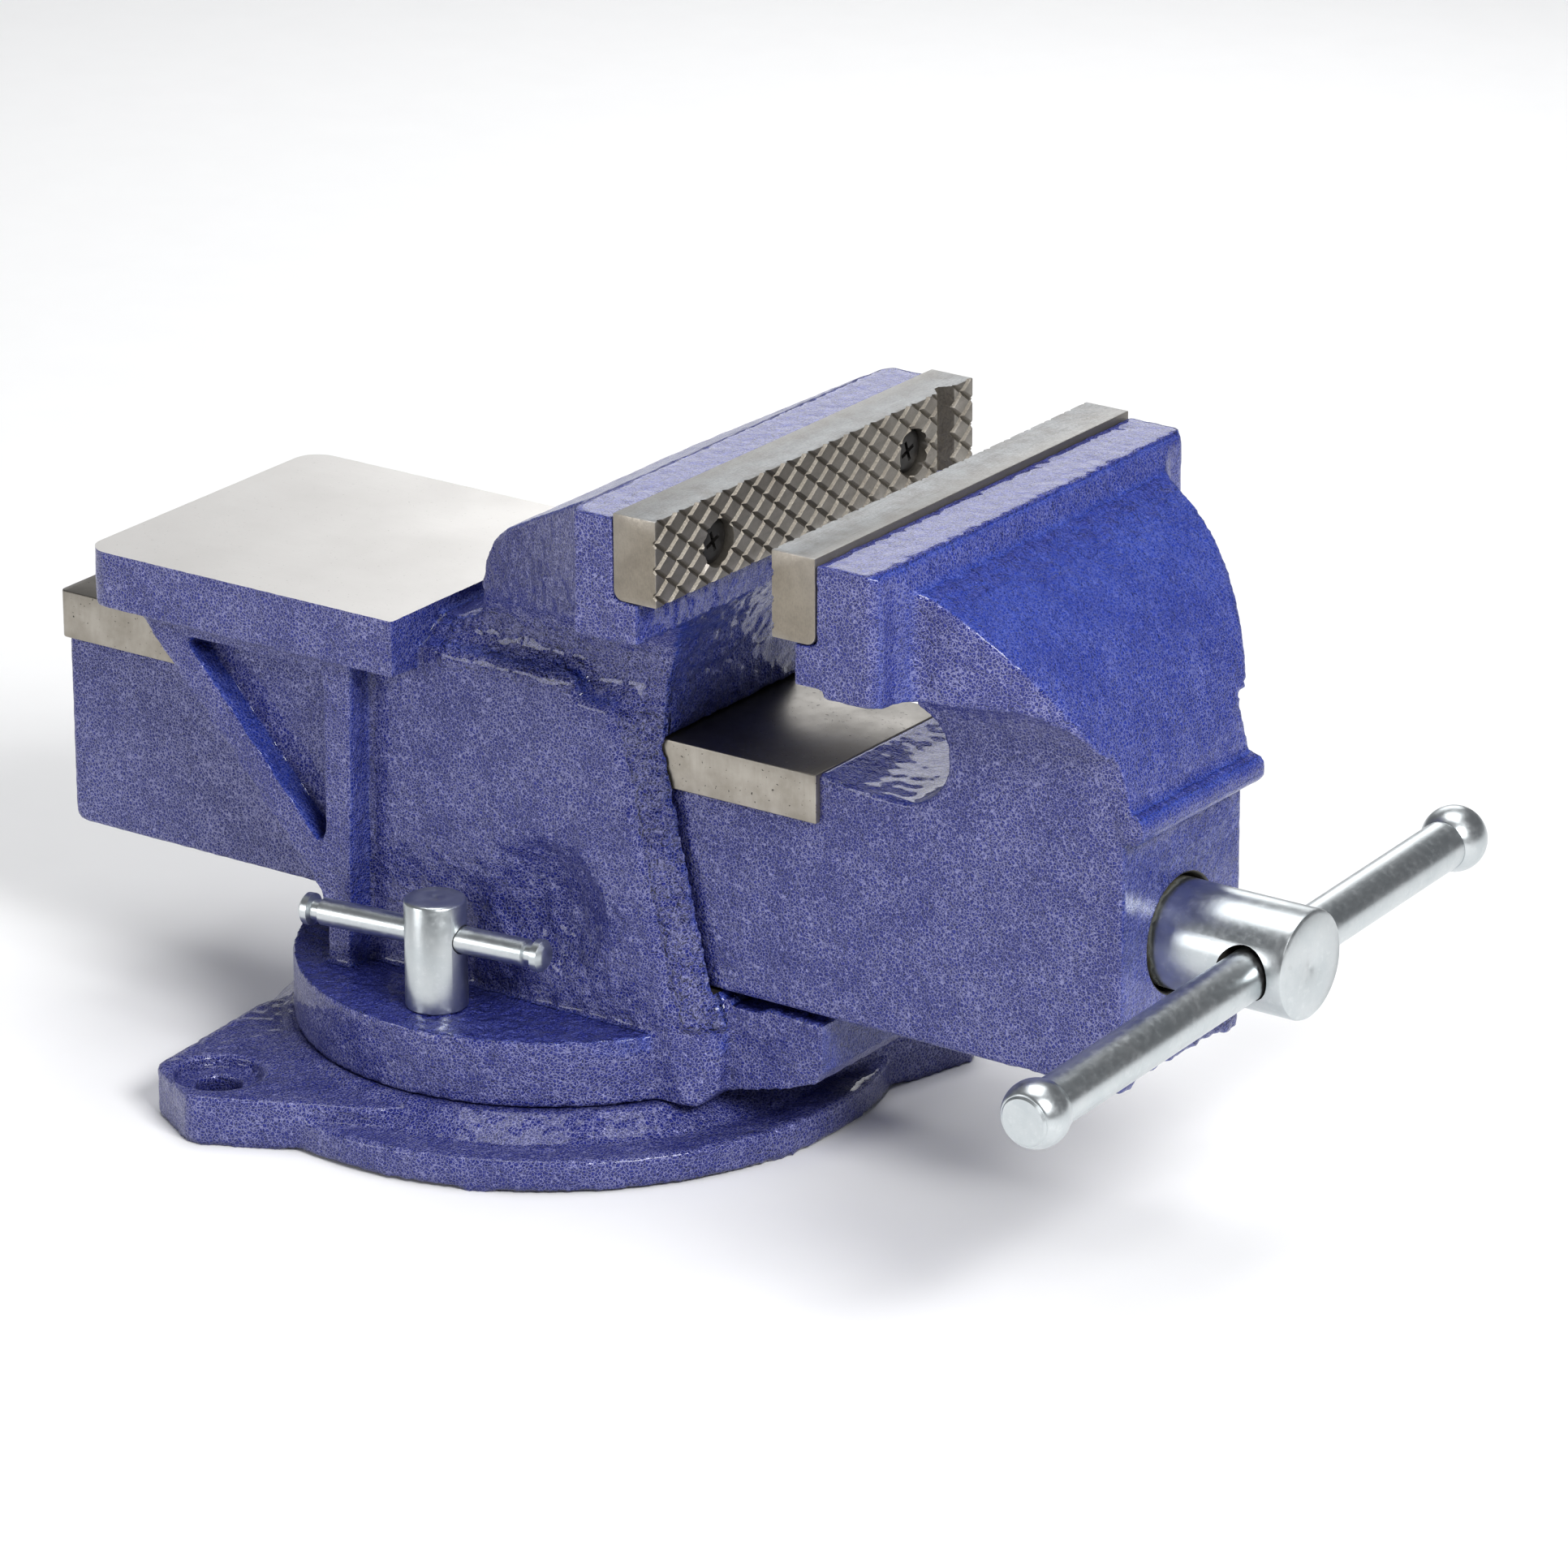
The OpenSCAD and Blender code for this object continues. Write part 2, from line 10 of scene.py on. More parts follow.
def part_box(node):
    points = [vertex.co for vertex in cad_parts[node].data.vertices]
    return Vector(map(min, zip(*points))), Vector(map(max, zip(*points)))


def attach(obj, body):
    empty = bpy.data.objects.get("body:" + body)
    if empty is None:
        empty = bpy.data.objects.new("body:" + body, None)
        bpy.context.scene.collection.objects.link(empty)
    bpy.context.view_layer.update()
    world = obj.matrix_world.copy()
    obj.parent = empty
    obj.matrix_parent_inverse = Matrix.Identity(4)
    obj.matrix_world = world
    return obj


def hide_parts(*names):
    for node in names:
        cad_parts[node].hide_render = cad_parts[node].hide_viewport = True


# A bench vise: rough castings in glossy blue hammer paint, ground jaw plates and zinc-plated screws.
# Everything is in metres, in the frame of the CAD model.

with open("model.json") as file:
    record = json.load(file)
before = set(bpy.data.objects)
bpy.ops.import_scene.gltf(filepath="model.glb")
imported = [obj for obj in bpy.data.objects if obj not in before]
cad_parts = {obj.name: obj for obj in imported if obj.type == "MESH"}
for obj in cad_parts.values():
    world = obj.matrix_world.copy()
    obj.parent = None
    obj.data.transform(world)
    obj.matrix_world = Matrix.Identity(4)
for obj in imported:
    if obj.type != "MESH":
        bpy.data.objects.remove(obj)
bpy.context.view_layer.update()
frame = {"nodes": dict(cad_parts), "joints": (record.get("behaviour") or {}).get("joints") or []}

JOINTS = {joint["name"]: joint for joint in frame["joints"]}
X_AXIS = Vector((1, 0, 0))
Z_AXIS = Vector((0, 0, 1))


# ---- Places taken from the frame ----

def middle(node):
    low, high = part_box(node)
    return (low + high) / 2


def size(node):
    low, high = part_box(node)
    return high - low


SCREW_Z = JOINTS["spindle_turn"]["pos_m"][2]
HANDLE_X = JOINTS["spindle_turn"]["pos_m"][0]
HANDLE_WAY = Vector(JOINTS["handle_slide"]["axis"]).normalized()
HEAD_R = size("lead_screw").y / 2
SCREW_R = 0.011
BAR_R = 0.007
LOCK_BAR_R = 0.0039
LOCK_BAR_Z = 0.057
ANVIL_TOP = 0.1444
RAIL_TOP = 0.1202
RAIL_HALF = 0.0312
RAIL_UNDER = 0.1060
RAIL_FRONT = 0.1115
SLIDE_FRONT = 0.2095
SLIDE_HALF = 0.0294


# ---- Mesh building ----

def object_from(name, points, faces):
    mesh = bpy.data.meshes.new(name)
    mesh.from_pydata([tuple(p) for p in points], [], faces)
    obj = bpy.data.objects.new(name, mesh)
    bpy.context.scene.collection.objects.link(obj)
    tidy_normals(obj)
    return obj


def tidy_normals(obj):
    """Merges doubled points and turns every face outwards."""
    bm = bmesh.new()
    bm.from_mesh(obj.data)
    bmesh.ops.remove_doubles(bm, verts=bm.verts, dist=1e-6)
    bmesh.ops.recalc_face_normals(bm, faces=bm.faces)
    bm.to_mesh(obj.data)
    bm.free()


def turned(name, profile, centre, axis, sides=96, ring=False):
    """A lathe shape. profile holds (along the axis, radius) pairs; a ring's profile closes on itself."""
    stand = Matrix.Translation(centre) @ Z_AXIS.rotation_difference(Vector(axis)).to_matrix().to_4x4()
    points = []
    for along, radius in profile:
        for i in range(sides):
            angle = 2 * math.pi * i / sides
            points.append(stand @ Vector((radius * math.cos(angle), radius * math.sin(angle), along)))
    faces = []
    count = len(profile)
    for k in range(count if ring else count - 1):
        for i in range(sides):
            a, b = k * sides, (k + 1) % count * sides
            j = (i + 1) % sides
            faces.append((a + i, a + j, b + j, b + i))
    if not ring:
        faces.append(tuple(range(sides))[::-1])
        faces.append(tuple((count - 1) * sides + i for i in range(sides)))
    return object_from(name, points, faces)


def prism(name, outline, axis, start, end):
    """An outline drawn in the plane across the axis, and drawn out from start to end along it."""
    order = {
        "x": lambda u, v, w: (w, u, v),
        "y": lambda u, v, w: (u, w, v),
        "z": lambda u, v, w: (u, v, w),
    }[axis]
    count = len(outline)
    points = [order(u, v, w) for w in (start, end) for u, v in outline]
    faces = [(i, (i + 1) % count, count + (i + 1) % count, count + i) for i in range(count)]
    faces += [tuple(range(count))[::-1], tuple(range(count, 2 * count))]
    return object_from(name, points, faces)


def block(name, low, high):
    return prism(name, [(low[0], low[1]), (high[0], low[1]), (high[0], high[1]), (low[0], high[1])],
                 "z", low[2], high[2])


def arc(cx, cy, radius, start, end, steps):
    """Points along an arc, its angles in degrees."""
    turns = [math.radians(start + (end - start) * i / steps) for i in range(steps + 1)]
    return [(cx + radius * math.cos(t), cy + radius * math.sin(t)) for t in turns]


def joined(name, objs):
    """One mesh of several closed ones. The originals are removed."""
    bm = bmesh.new()
    for obj in objs:
        bm.from_mesh(obj.data)
    mesh = bpy.data.meshes.new(name)
    bm.to_mesh(mesh)
    bm.free()
    for obj in objs:
        bpy.data.objects.remove(obj)
    made = bpy.data.objects.new(name, mesh)
    bpy.context.scene.collection.objects.link(made)
    return made


def copy_of(node, name):
    made = bpy.data.objects.new(name, frame["nodes"][node].data.copy())
    made.data.materials.clear()
    bpy.context.scene.collection.objects.link(made)
    tidy_normals(made)
    return made


def settle(obj):
    """Turns an object's modifiers into its mesh."""
    bpy.context.view_layer.update()
    graph = bpy.context.evaluated_depsgraph_get()
    mesh = bpy.data.meshes.new_from_object(obj.evaluated_get(graph))
    obj.modifiers.clear()
    obj.data = mesh
    return obj


def bevelled(obj, width):
    """Breaks every sharp edge of a machined piece."""
    bevel = obj.modifiers.new("bevel", "BEVEL")
    bevel.width = width
    bevel.segments = 2
    bevel.limit_method = "ANGLE"
    bevel.angle_limit = math.radians(30)
    return settle(obj)


def combined(obj, other, operation="DIFFERENCE", solver="MANIFOLD"):
    """A boolean of two meshes. Faces that come from other keep its material number."""
    step = obj.modifiers.new("boolean", "BOOLEAN")
    step.object = other
    step.operation = operation
    step.solver = solver
    step.material_mode = "INDEX"
    step.use_self = solver == "EXACT"
    settle(obj)
    bpy.data.objects.remove(other)
    return obj


def numbered(obj, number):
    """Gives every face of a cutter its material number."""
    obj.data.polygons.foreach_set("material_index", [number] * len(obj.data.polygons))
    return obj


def with_materials(obj, *materials):
    indices = np.zeros(len(obj.data.polygons), np.int32)
    obj.data.polygons.foreach_get("material_index", indices)
    obj.data.materials.clear()
    for material in materials:
        obj.data.materials.append(material)
    obj.data.polygons.foreach_set("material_index", np.minimum(indices, len(materials) - 1))
    return obj


def shaded(obj, angle=38):
    obj.data.polygons.foreach_set("use_smooth", [True] * len(obj.data.polygons))
    obj.data.set_sharp_from_angle(angle=math.radians(angle))
    return obj


def finished(obj, body, slot, materials, *nodes, angle=38):
    """Shades a piece, gives it its materials, hangs it on the empty of the body it rides on and hides the CAD
    nodes it stands for.
    """
    with_materials(obj, *materials)
    shaded(obj, angle)
    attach(obj, body)
    if nodes:
        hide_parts(*nodes)
    return obj


# ---- Material building ----

def new_material(name):
    made = bpy.data.materials.new(name)
    made.use_nodes = True
    tree = made.node_tree
    tree.nodes.clear()
    shader = tree.nodes.new("ShaderNodeBsdfPrincipled")
    out = tree.nodes.new("ShaderNodeOutputMaterial")
    tree.links.new(shader.outputs[0], out.inputs["Surface"])
    return made, tree, shader


def fill(tree, socket, value):
    if isinstance(value, bpy.types.NodeSocket):
        tree.links.new(value, socket)
    else:
        socket.default_value = value


def add(tree, kind, inputs, **settings):
    made = tree.nodes.new("ShaderNode" + kind)
    for key, value in settings.items():
        setattr(made, key, value)
    for key, value in inputs.items():
        fill(tree, made.inputs[key], value)
    return made


def place(tree):
    """Coordinates that stay with the piece, in metres."""
    return add(tree, "TexCoord", {}).outputs["Object"]


def scaled(tree, vector, by):
    return add(tree, "VectorMath", {0: vector, 1: by}, operation="MULTIPLY").outputs[0]


def noise_of(tree, vector, scale, detail=3.0, rough=0.5):
    made = add(tree, "TexNoise", {"Vector": vector, "Scale": scale, "Detail": detail, "Roughness": rough})
    return made.outputs["Fac"]


def warped(tree, vector, scale, by):
    shift = add(tree, "TexNoise", {"Vector": vector, "Scale": scale, "Detail": 1.0}).outputs["Color"]
    centred = add(tree, "VectorMath", {0: shift, 1: (0.5, 0.5, 0.5)}, operation="SUBTRACT").outputs[0]
    moved = scaled(tree, centred, (by, by, by))
    return add(tree, "VectorMath", {0: vector, 1: moved}, operation="ADD").outputs[0]


def spread(tree, value, low, high, to_low=0.0, to_high=1.0):
    inputs = {"Value": value, "From Min": low, "From Max": high, "To Min": to_low, "To Max": to_high}
    return add(tree, "MapRange", inputs, interpolation_type="SMOOTHSTEP").outputs["Result"]


def maths(tree, operation, a, b=0.0):
    return add(tree, "Math", {0: a, 1: b}, operation=operation).outputs[0]


def mixed(tree, share, a, b):
    made = add(tree, "Mix", {0: share, 6: a, 7: b}, data_type="RGBA")
    return made.outputs[2]


def blended(tree, share, a, b):
    return add(tree, "Mix", {0: share, 2: a, 3: b}, data_type="FLOAT").outputs[0]


def bumped(tree, height, strength, distance, normal=None):
    inputs = {"Height": height, "Strength": strength, "Distance": distance}
    if normal is not None:
        inputs["Normal"] = normal
    return add(tree, "Bump", inputs).outputs[0]


def rgb(r, g, b):
    return (r, g, b, 1.0)


# ---- Materials ----

def facing(tree):
    """How much a surface faces along each axis, by the piece's own axes."""
    normal = add(tree, "TexCoord", {}).outputs["Normal"]
    parts = add(tree, "SeparateXYZ", {"Vector": normal})
    return [maths(tree, "ABSOLUTE", parts.outputs[axis]) for axis in "XYZ"]


def within(tree, value, low, high, edge):
    """One between low and high, and nothing outside, with soft edges."""
    rise = spread(tree, value, low - edge, low)
    fall = spread(tree, value, high + edge, high)
    return maths(tree, "MULTIPLY", rise, fall)


def lumpy_spots(tree, where):
    """The body's bevelled front corners and its shoulders, where the mould left the skin coarse."""
    parts = add(tree, "SeparateXYZ", {"Vector": where}).outputs
    x, z = parts["X"], parts["Z"]
    off_side = maths(tree, "ABSOLUTE", parts["Y"])
    corner = maths(tree, "MULTIPLY", within(tree, off_side, 0.0306, 0.0375, 0.0012),
                   within(tree, x, 0.050, 0.092, 0.003))
    corner = maths(tree, "MULTIPLY", corner, within(tree, z, 0.040, 0.126, 0.003))
    shoulder = maths(tree, "MULTIPLY", within(tree, z, 0.132, 0.145, 0.004),
                     within(tree, x, -0.008, 0.062, 0.004))
    shoulder = maths(tree, "MULTIPLY", shoulder, within(tree, off_side, 0.031, 0.048, 0.002))
    return maths(tree, "MAXIMUM", corner, maths(tree, "MULTIPLY", shoulder, 0.7))


def hammer_paint():
    """Blue hammer finish: deep blue cells ringed by a thin pale web where the aluminium flake gathers.

    The colour is also picked by which way a face turns, as painted light: upright faces get a paler violet
    grey web, a painted reflection, and sloping tops a brighter blue, painted light. Flat tops get a darker
    blue ground, painted shade, under a wider bright blue web, a painted sheen, so that the cells show as dark
    pits. Convex corners are paler, as thinner paint with a painted highlight, and hollows and sheltered spots
    darker, as painted shade.
    """
    made, tree, shader = new_material("hammer_paint")
    where = place(tree)
    ways = facing(tree)
    # Sideways faces get the violet grey web, a painted reflection, and up-facing ones a bright blue web, a
    # painted sheen.
    side = maths(tree, "MAXIMUM", ways[1], maths(tree, "MULTIPLY", ways[0], 0.62))
    height = add(tree, "SeparateXYZ", {"Vector": where}).outputs["Z"]
    low_down = spread(tree, height, 0.036, 0.030)
    painted_side_sheen = maths(tree, "MAXIMUM", spread(tree, side, 0.15, 0.85), low_down)
    upward = spread(tree, ways[2], 0.80, 0.97)
    upward = maths(tree, "MULTIPLY", upward, maths(tree, "SUBTRACT", 1.0, low_down))
    bent = warped(tree, where, 850.0, 0.0006)
    pattern = {"Vector": bent, "Scale": 1050.0, "Randomness": 1.0}
    cells = add(tree, "TexVoronoi", pattern, feature="DISTANCE_TO_EDGE").outputs["Distance"]
    shades = add(tree, "TexVoronoi", pattern, feature="F1")
    own = add(tree, "SeparateColor", {"Color": shades.outputs["Color"]}).outputs["Red"]
    patch = noise_of(tree, where, 90.0, 2.0)
    grit = noise_of(tree, where, 1500.0, 2.0)
    reach = spread(tree, patch, 0.3, 0.7, 0.06, 0.13)
    reach = maths(tree, "ADD", reach, maths(tree, "MULTIPLY", upward, 0.05))
    web = spread(tree, maths(tree, "DIVIDE", cells, reach), 0.3, 1.3, 1.0, 0.0)
    web = maths(tree, "MULTIPLY", web, spread(tree, grit, 0.25, 0.6, 0.5, 1.0))
    strong = maths(tree, "MAXIMUM", blended(tree, painted_side_sheen, 0.30, 1.0), upward)
    web = maths(tree, "MULTIPLY", web, strong)
    # The brighter blue on sloping tops is painted light; the duller blue on sides and the darker ground on
    # flat tops are painted shade.
    deep = mixed(tree, patch, rgb(0.008, 0.026, 0.26), rgb(0.016, 0.052, 0.41))
    plain = mixed(tree, patch, rgb(0.009, 0.014, 0.15), rgb(0.017, 0.025, 0.23))
    blue = mixed(tree, painted_side_sheen, deep, plain)
    blue = mixed(tree, upward, blue, rgb(0.012, 0.018, 0.20))
    haze = maths(tree, "MULTIPLY", spread(tree, own, 0.45, 1.0, 0.0, 0.30), blended(tree, painted_side_sheen, 0.25, 1.0))
    blue = mixed(tree, haze, blue, rgb(0.075, 0.08, 0.21))
    bend = add(tree, "NewGeometry", {}).outputs["Pointiness"]
    # Creases and spots sheltered by nearby parts are darkened to navy and lose their web: painted shade.
    painted_shade = spread(tree, bend, 0.495, 0.44, 0.0, 0.75)
    occlusion = add(tree, "AmbientOcclusion", {"Distance": 0.022}, samples=6).outputs["AO"]
    painted_shade = maths(tree, "MAXIMUM", painted_shade, spread(tree, occlusion, 0.62, 0.20, 0.0, 0.85))
    blue = mixed(tree, painted_shade, blue, rgb(0.005, 0.007, 0.085))
    # Convex corners are lightened: thinner paint there, with a painted highlight.
    corner = maths(tree, "MULTIPLY", spread(tree, bend, 0.515, 0.60), spread(tree, grit, 0.42, 0.60))
    coarse = lumpy_spots(tree, where)
    lumps = noise_of(tree, where, 430.0, 2.0, 0.55)
    # Lump tops on the coarse spots are lightened: a painted highlight, with thinner paint there.
    peak_highlight = maths(tree, "MULTIPLY", coarse, spread(tree, lumps, 0.54, 0.66, 0.0, 0.9))
    pale = maths(tree, "MAXIMUM", maths(tree, "MULTIPLY", web, maths(tree, "SUBTRACT", 1.0, painted_shade)),
                 maths(tree, "MAXIMUM", maths(tree, "MULTIPLY", corner, 0.8), peak_highlight))
    # The violet grey flake on upright faces is a painted reflection, and the bright blue flake on flat tops a
    # painted sheen.
    flake = mixed(tree, painted_side_sheen, rgb(0.10, 0.15, 0.50), rgb(0.22, 0.225, 0.42))
    flake = mixed(tree, upward, flake, rgb(0.075, 0.09, 0.34))
    fill(tree, shader.inputs["Base Color"], mixed(tree, pale, blue, flake))
    fill(tree, shader.inputs["Metallic"], spread(tree, pale, 0.0, 1.0, 0.0, 0.35))
    fill(tree, shader.inputs["Roughness"], spread(tree, pale, 0.0, 1.0, 0.32, 0.40))
    shader.inputs["Specular IOR Level"].default_value = 0.2
    shader.inputs["Coat Weight"].default_value = 0.5
    shader.inputs["Coat Roughness"].default_value = 0.05
    dome = spread(tree, cells, 0.0, 0.40)
    fine = bumped(tree, dome, 1.0, 0.00030)
    peel = maths(tree, "MULTIPLY", noise_of(tree, where, 300.0, 3.0, 0.6), blended(tree, upward, 1.0, 2.2))
    skin = bumped(tree, peel, 0.9, 0.0020, fine)
    skin = bumped(tree, noise_of(tree, where, 110.0, 2.0), 0.6, 0.0022, skin)
    skin = bumped(tree, maths(tree, "MULTIPLY", lumps, coarse), 0.9, 0.0045, skin)
    fill(tree, shader.inputs["Normal"], skin)
    return made


def machined_iron(name, along, light, dark, specks, rough_low, rough_high, film_scale, shade):
    """Cast iron cut flat, with fine tool lines along one direction, a soft cloudy film and dark pores.

    shade is how much darker its top is painted than its sides: painted shade.
    """
    made, tree, shader = new_material(name)
    where = place(tree)
    lines = noise_of(tree, scaled(tree, where, along), 1.0, 4.0, 0.6)
    film = noise_of(tree, where, film_scale, 4.0, 0.6)
    pores = noise_of(tree, where, 900.0, 2.0, 0.6)
    tone = mixed(tree, spread(tree, film, 0.25, 0.75), rgb(*light), rgb(*dark))
    tone = mixed(tree, spread(tree, lines, 0.35, 0.75, 0.0, 0.3), tone, rgb(*dark))
    # Up-facing faces are darkened towards brown black: painted shade.
    tone = mixed(tree, spread(tree, facing(tree)[2], 0.6, 0.9, 0.0, shade), tone, rgb(0.06, 0.056, 0.05))
    speck = spread(tree, pores, 0.67, 0.71, 0.0, specks)
    fill(tree, shader.inputs["Base Color"], mixed(tree, speck, tone, rgb(0.035, 0.03, 0.027)))
    shader.inputs["Metallic"].default_value = 0.9
    fill(tree, shader.inputs["Roughness"], spread(tree, film, 0.2, 0.8, rough_low, rough_high))
    scratch = bumped(tree, lines, 0.3, 0.00005)
    pitted = bumped(tree, maths(tree, "SUBTRACT", 1.0, speck), 0.5, 0.0002, scratch)
    fill(tree, shader.inputs["Normal"], pitted)
    return made


def zinc_plate(name, rings=False, grease_to=None):
    """Bright zinc: cloudy frosting, faint turning rings, and grease up to an X where one is given."""
    made, tree, shader = new_material(name)
    where = place(tree)
    cloud = noise_of(tree, where, 75.0, 5.0, 0.65)
    frost = noise_of(tree, where, 420.0, 4.0, 0.7)
    grain = noise_of(tree, where, 1500.0, 3.0, 0.6)
    tone = mixed(tree, spread(tree, cloud, 0.3, 0.7), rgb(0.50, 0.54, 0.555), rgb(0.58, 0.61, 0.62))
    tone = mixed(tree, spread(tree, frost, 0.52, 0.70, 0.0, 0.5), tone, rgb(0.66, 0.69, 0.70))
    stain = spread(tree, noise_of(tree, where, 160.0, 4.0, 0.65), 0.60, 0.75, 0.0, 0.30)
    tone = mixed(tree, stain, tone, rgb(0.34, 0.35, 0.34))
    glaze = spread(tree, frost, 0.35, 0.70, 0.29, 0.38)
    metal = 1.0
    if grease_to is not None:
        x = add(tree, "SeparateXYZ", {"Vector": where}).outputs["X"]
        ragged = maths(tree, "MULTIPLY", noise_of(tree, where, 260.0, 3.0), 0.004)
        ragged = maths(tree, "ADD", ragged, x)
        oil = spread(tree, ragged, grease_to + 0.0005, grease_to + 0.0028, 0.92, 0.0)
        tone = mixed(tree, oil, tone, rgb(0.055, 0.048, 0.022))
        glaze = blended(tree, oil, glaze, 0.25)
        metal = spread(tree, oil, 0.0, 1.0, 1.0, 0.2)
    fill(tree, shader.inputs["Base Color"], tone)
    fill(tree, shader.inputs["Metallic"], metal)
    fill(tree, shader.inputs["Roughness"], glaze)
    normal = bumped(tree, grain, 0.2, 0.00004)
    if rings:
        turning = noise_of(tree, scaled(tree, where, (2600.0, 25.0, 25.0)), 1.0, 3.0, 0.7)
        normal = bumped(tree, turning, 0.3, 0.00005, normal)
    fill(tree, shader.inputs["Normal"], normal)
    return made


def jaw_steel(name, top, end, face):
    """Hardened jaw steel: ground grey on top, browner and grainy on its ends and its serrated face."""
    made, tree, shader = new_material(name)
    where = place(tree)
    endways, upward = facing(tree)[1], facing(tree)[2]
    grind = noise_of(tree, scaled(tree, where, (2200.0, 120.0, 700.0)), 1.0, 3.0, 0.6)
    cloud = noise_of(tree, where, 120.0, 4.0, 0.65)
    grain = noise_of(tree, where, 1700.0, 2.0, 0.6)
    tone = mixed(tree, spread(tree, upward, 0.4, 0.8), rgb(*face), rgb(*top))
    tone = mixed(tree, spread(tree, endways, 0.6, 0.9), tone, rgb(*end))
    tone = mixed(tree, spread(tree, cloud, 0.35, 0.75, 0.0, 0.45), tone, rgb(0.11, 0.09, 0.07))
    tone = mixed(tree, spread(tree, grind, 0.45, 0.8, 0.0, 0.35), tone, rgb(0.09, 0.085, 0.08))
    # Convex edges are lightened: a painted edge highlight.
    bend = add(tree, "NewGeometry", {}).outputs["Pointiness"]
    tone = mixed(tree, spread(tree, bend, 0.52, 0.60, 0.0, 0.5), tone, rgb(0.52, 0.49, 0.45))
    fill(tree, shader.inputs["Base Color"], tone)
    shader.inputs["Metallic"].default_value = 0.9
    fill(tree, shader.inputs["Roughness"], spread(tree, grain, 0.3, 0.7, 0.38, 0.52))
    fill(tree, shader.inputs["Normal"], bumped(tree, grain, 0.5, 0.00012))
    return made


def black_oxide():
    made, tree, shader = new_material("black_oxide")
    where = place(tree)
    cloud = noise_of(tree, where, 400.0, 3.0)
    tone = mixed(tree, cloud, rgb(0.010, 0.010, 0.011), rgb(0.04, 0.037, 0.034))
    fill(tree, shader.inputs["Base Color"], tone)
    shader.inputs["Metallic"].default_value = 0.7
    fill(tree, shader.inputs["Roughness"], spread(tree, cloud, 0.3, 0.7, 0.32, 0.5))
    fill(tree, shader.inputs["Normal"], bumped(tree, cloud, 0.3, 0.0001))
    return made


def greasy_iron():
    """Bare iron under a film of old grease, darker where the grease is thick."""
    made, tree, shader = new_material("greasy_iron")
    where = place(tree)
    film = noise_of(tree, where, 70.0, 4.0, 0.6)
    grain = noise_of(tree, where, 700.0, 3.0, 0.6)
    tone = mixed(tree, spread(tree, film, 0.35, 0.65), rgb(0.10, 0.095, 0.085), rgb(0.028, 0.024, 0.02))
    fill(tree, shader.inputs["Base Color"], tone)
    shader.inputs["Metallic"].default_value = 0.6
    fill(tree, shader.inputs["Roughness"], spread(tree, film, 0.3, 0.7, 0.5, 0.22))
    fill(tree, shader.inputs["Normal"], bumped(tree, grain, 0.4, 0.0002))
    return made


PAINT = hammer_paint()
ANVIL = machined_iron("anvil_face", (60.0, 900.0, 60.0), (0.66, 0.645, 0.625), (0.62, 0.605, 0.585), 0.2,
                      0.36, 0.42, 30.0, 0.0)
# The rail's last number paints strong shade on its top.
RAIL = machined_iron("rail_face", (500.0, 60.0, 60.0), (0.42, 0.39, 0.345), (0.27, 0.245, 0.205), 0.9,
                     0.28, 0.38, 90.0, 0.74)
ZINC = zinc_plate("zinc_plate")
TURNED_ZINC = zinc_plate("zinc_plate_turned", True, SLIDE_FRONT)
PLATE = jaw_steel("jaw_steel_ground", (0.28, 0.29, 0.295), (0.26, 0.23, 0.185), (0.22, 0.205, 0.18))
BITE = jaw_steel("jaw_steel_cut", (0.24, 0.22, 0.19), (0.24, 0.22, 0.19), (0.16, 0.145, 0.12))
BLACK = black_oxide()
GREASE = greasy_iron()


# ---- Castings ----

def rough(obj, weight):
    """Pushes the points of a casting in and out by smooth noise, more where weight says so."""
    lump, depth = 0.0038, 0.00020
    mesh = obj.data
    mesh.update()
    points = coordinates(mesh)
    normals = np.array([tuple(v.normal) for v in mesh.vertices])
    waves = np.array([noise.noise(Vector(p) / lump) + 0.5 * noise.noise(Vector(p) * 2.3 / lump)
                      for p in points])
    points += normals * (waves * depth * weight(points))[:, None]
    mesh.vertices.foreach_set("co", points.ravel())
    mesh.update()


def coordinates(mesh):
    points = np.zeros(len(mesh.vertices) * 3)
    mesh.vertices.foreach_get("co", points)
    return points.reshape(-1, 3)


def melted(obj, share):
    """Smooths a casting strongly where share is high, as thick paint and worn patterns do."""
    group = obj.vertex_groups.new(name="soft")
    parts = np.round(share(coordinates(obj.data)), 1)
    for level in np.unique(parts):
        if level > 0:
            group.add(np.flatnonzero(parts == level).tolist(), float(level), "REPLACE")
    step = obj.modifiers.new("fillets", "SMOOTH")
    step.factor = 0.6
    step.iterations = 40
    step.vertex_group = "soft"
    settle(obj)


def held_inside(obj, node):
    """Keeps a roughened casting inside its CAD node's box."""
    low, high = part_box(node)
    mesh = obj.data
    points = np.clip(coordinates(mesh), np.array(low), np.array(high))
    mesh.vertices.foreach_set("co", points.ravel())
    mesh.update()


def casting(name, source, node, stock, cuts, weight, soft_spots=None):
    """A rough casting with worn round edges, and then its machined cuts with crisp ones.

    soft_spots says, from 0 to 1 for each point, where inner corners flow together in wide fillets.
    """
    obj = joined(name, [source] + stock)
    skin = obj.modifiers.new("skin", "REMESH")
    skin.mode = "VOXEL"
    skin.voxel_size = 0.0010
    settle(obj)
    soft = obj.modifiers.new("edges", "SMOOTH")
    soft.factor = 0.5
    soft.iterations = 3
    settle(obj)
    if soft_spots:
        melted(obj, soft_spots)
    rough(obj, weight)
    held_inside(obj, node)
    for cut in cuts:
        combined(obj, cut)
    return obj


